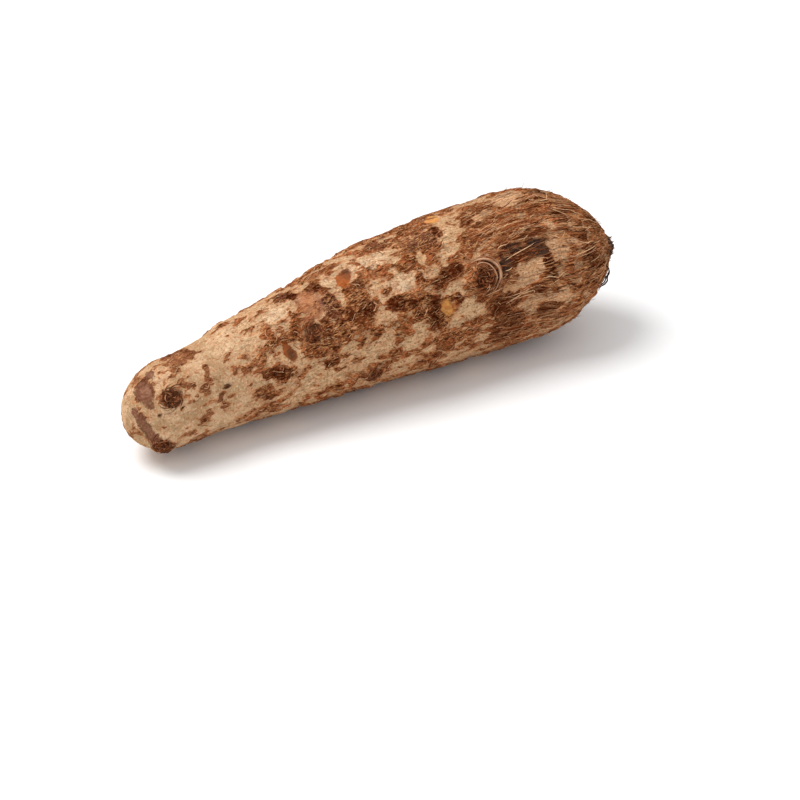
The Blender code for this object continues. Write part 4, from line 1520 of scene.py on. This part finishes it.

# %% [markdown]
# ### Felt
# The eyes and a few small pits are felted with dark hair. Painted shade darkens the groove that runs round the
# large eye, inside its collar.

# %% Felt and crease
felt_mask = torn(tree, grown_at, field(tree, "felt"), size=1.4, tear=1.0, threshold=0.4, softness=0.25)
felt_colour = laid(tree, FELT, BARK, rising(tree, fine, 0.5, 0.66))
paint = laid(tree, paint, felt_colour, felt_mask, share=0.92)
# Painted shade in the groove round the large eye.
paint = laid(tree, paint, GAP_DARK, field(tree, "crease_shade"), share=0.9)
tree.links.new(paint, shader.inputs["Base Color"])
print("painted the felt")

# %% [markdown]
# ### Finest relief and gloss
# What is finer than the mesh is a bump: the grain of cork, the edge of the bark, raised threads and sunk gaps.
# Scars, swelling and smooth patches are calmer and a little less matt.

# %% Skin relief
SKIN_ROUGHNESS = 0.88
CALM_GLOSS = 0.25
CALM_FLATNESS = 0.6

calm = larger(tree, smooth_mask, larger(tree, larger(tree, scar_mask, fresh_mask), swell_mask))
roughness = minus(tree, SKIN_ROUGHNESS, times(tree, calm, CALM_GLOSS))
tree.links.new(roughness, shader.inputs["Roughness"])
shader.inputs["Specular IOR Level"].default_value = 0.0
relief = plus(tree, times(tree, cork, 0.5), times(tree, thick, 0.35))
relief = plus(tree, relief, times(tree, threads, 0.35))
relief = minus(tree, relief, times(tree, gaps, 0.5))
relief = times(tree, relief, minus(tree, 1.0, times(tree, calm, CALM_FLATNESS)))
bumps = node(tree, "ShaderNodeBump", {"Strength": 1.0, "Distance": MM, "Height": relief})
tree.links.new(bumps.outputs[0], shader.inputs["Normal"])
corm.data.materials.append(skin_finish)
print("the skin's finish has", len(tree.nodes), "nodes")

# %% [markdown]
# ## Fibres and felt
# The strands carry a tone from 0, old and dark, to 1, fresh and pale. Their colour follows it, and drifts a
# little along the strand.

# %% Strand materials
OLD_FIBRE = colour(88, 42, 16)
MID_FIBRE = colour(164, 110, 76)
PALE_FIBRE = colour(236, 190, 146)
LIP_BROWN = colour(172, 122, 88)
LIP_PALE = colour(204, 158, 126)
FELT_BROWN = colour(128, 68, 42)
FELT_PALE = colour(188, 128, 88)
BLACK_FIBRE = colour(32, 22, 18)
SOOT_FIBRE = colour(58, 44, 36)
GREY_FIBRE = colour(96, 76, 62)
TUFT_DARK = colour(66, 44, 34)


def strand_material(name, dark, middle, pale, roughness):
    material, tree, shader = new_material(name)
    place = node(tree, "ShaderNodeTexCoord").outputs["Object"]
    at = vector_maths(tree, "SCALE", place, 1 / MM)
    darker = drift(tree, at, dark, middle, size=3.0, balance=0.5, softness=0.2)
    paler = drift(tree, at, middle, pale, size=4.0, balance=0.42, softness=0.15)
    tone = rising(tree, field(tree, "tone"), 0.25, 0.7)
    tree.links.new(laid(tree, darker, paler, tone), shader.inputs["Base Color"])
    shader.inputs["Roughness"].default_value = roughness
    shader.inputs["Specular IOR Level"].default_value = 0.0
    return material


FIBRE_PIECES = (short_fibres, long_fibres, standing_hairs, loose_fibres)
for finish, dressed in (
    (("bark_fibre", OLD_FIBRE, MID_FIBRE, PALE_FIBRE, 0.75), FIBRE_PIECES),
    (("sheath_ribbon", DARK_BARK, BARK, MID_FIBRE, 0.8), (sheath_ribbons,)),
    (("collar_lip", MID_FIBRE, LIP_BROWN, LIP_PALE, 0.7), (collar_lips,)),
    (("eye_felt", FELT, FELT_BROWN, FELT_PALE, 0.75), (eye_hairs,)),
    (("dead_sheath", BLACK_FIBRE, SOOT_FIBRE, GREY_FIBRE, 0.6), (black_curl,)),
    (("crown_tuft", TUFT_DARK, GREY_FIBRE, MID_FIBRE, 0.75), (crown_tuft,)),
):
    material = strand_material(*finish)
    for piece in dressed:
        piece.data.materials.append(material)
    print("painted", material.name, "on", len(dressed), "pieces")

# %% [markdown]
# ## Floor
# The corm lies on a seamless white floor, so wide that its edge is never seen. It is a hair below the corm, so
# that the two surfaces don't flicker where they touch.

# %% Floor
FLOOR_SIZE = 14.0
FLOOR_DROP = 0.0002
FLOOR_WHITE = (0.9, 0.9, 0.9, 1)
FLOOR_ROUGHNESS = 0.9
half = FLOOR_SIZE / 2
quarters = ((-1, -1), (1, -1), (1, 1), (-1, 1))
corners = [(x_side * half, y_side * half, -FLOOR_DROP) for x_side, y_side in quarters]
floor_mesh = bpy.data.meshes.new("floor")
floor_mesh.from_pydata(corners, [], [(0, 1, 2, 3)])
floor = bpy.data.objects.new("floor", floor_mesh)
bpy.context.scene.collection.objects.link(floor)
floor_material, _, floor_shader = new_material("white_floor")
floor_shader.inputs["Base Color"].default_value = FLOOR_WHITE
floor_shader.inputs["Roughness"].default_value = FLOOR_ROUGHNESS
floor_mesh.materials.append(floor_material)
print("the floor is", FLOOR_SIZE, "m wide")

# %% [markdown]
# ## Camera
# The camera looks down at about a third of a right angle, and along the corm at a slant, with the crown farther
# away. Its lens is long, so that the two ends keep nearly the same scale.

# %% Camera
CAMERA_ELEVATION = math.radians(33)
CAMERA_AZIMUTH = math.radians(-30)
LENS = 250.0
SENSOR = 36.0
PIXELS_PER_MM = 2.24
IMAGE_WIDTH = 800
AIM_RIGHT = 0.0184
AIM_DOWN = 0.0107
FARTHEST = 100
camera_right = Vector((math.cos(CAMERA_AZIMUTH), math.sin(CAMERA_AZIMUTH), 0))
camera_back = Vector((
    math.sin(CAMERA_AZIMUTH) * math.cos(CAMERA_ELEVATION),
    -math.cos(CAMERA_AZIMUTH) * math.cos(CAMERA_ELEVATION),
    math.sin(CAMERA_ELEVATION),
))
camera_up = camera_back.cross(camera_right)
camera_distance = MM * IMAGE_WIDTH / PIXELS_PER_MM * LENS / SENSOR
aim = camera_right * AIM_RIGHT - camera_up * AIM_DOWN
camera_data = bpy.data.cameras.new("camera")
camera_data.lens = LENS
camera_data.sensor_width = SENSOR
camera_data.clip_end = FARTHEST
camera = bpy.data.objects.new("camera", camera_data)
camera.location = aim + camera_back * camera_distance
camera.rotation_euler = camera_back.to_track_quat("Z", "Y").to_euler()
bpy.context.scene.collection.objects.link(camera)
bpy.context.scene.camera = camera
print("camera stands", round(camera_distance, 2), "m away")

# %% [markdown]
# ## Light
# One large round lamp, high and a little to the left, gives the soft shading and the shadow on the right. A
# white sky fills the shadow and makes the floor white.

# %% Lamp and sky
KEY_LEFT = 0.55
KEY_BEHIND = 0.1
KEY_DISTANCE = 1.9
KEY_SIZE = 1.3
KEY_POWER = 30.0
SKY_STRENGTH = 0.78
camera_level = Vector((camera_back.x, camera_back.y, 0))
key_way = (-KEY_LEFT * camera_right + Vector((0, 0, 1.0)) - KEY_BEHIND * camera_level).normalized()
key_data = bpy.data.lights.new("key", "AREA")
key_data.shape = "DISK"
key_data.size = KEY_SIZE
key_data.energy = KEY_POWER
key = bpy.data.objects.new("key", key_data)
key.location = key_way * KEY_DISTANCE
key.rotation_euler = key_way.to_track_quat("Z", "Y").to_euler()
bpy.context.scene.collection.objects.link(key)
world = bpy.data.worlds.new("sky")
bpy.context.scene.world = world
world.use_nodes = True
world.node_tree.nodes["Background"].inputs["Color"].default_value = (1, 1, 1, 1)
world.node_tree.nodes["Background"].inputs["Strength"].default_value = SKY_STRENGTH
bpy.context.scene.view_settings.view_transform = "Standard"
bpy.context.scene.view_settings.look = "None"
print("lit by one lamp of", KEY_POWER, "W and a white sky")

# %% [markdown]
# ## Hand the pieces over
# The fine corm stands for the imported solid. Everything else only lies on it and moves with it.

# %% Ride, replace and finish
PIECES = (
    corm, short_fibres, long_fibres, loose_fibres, sheath_ribbons, standing_hairs, eye_hairs, collar_lips,
    black_curl, crown_tuft,
)
for piece in PIECES:
    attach(piece, "root")
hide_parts("corm")
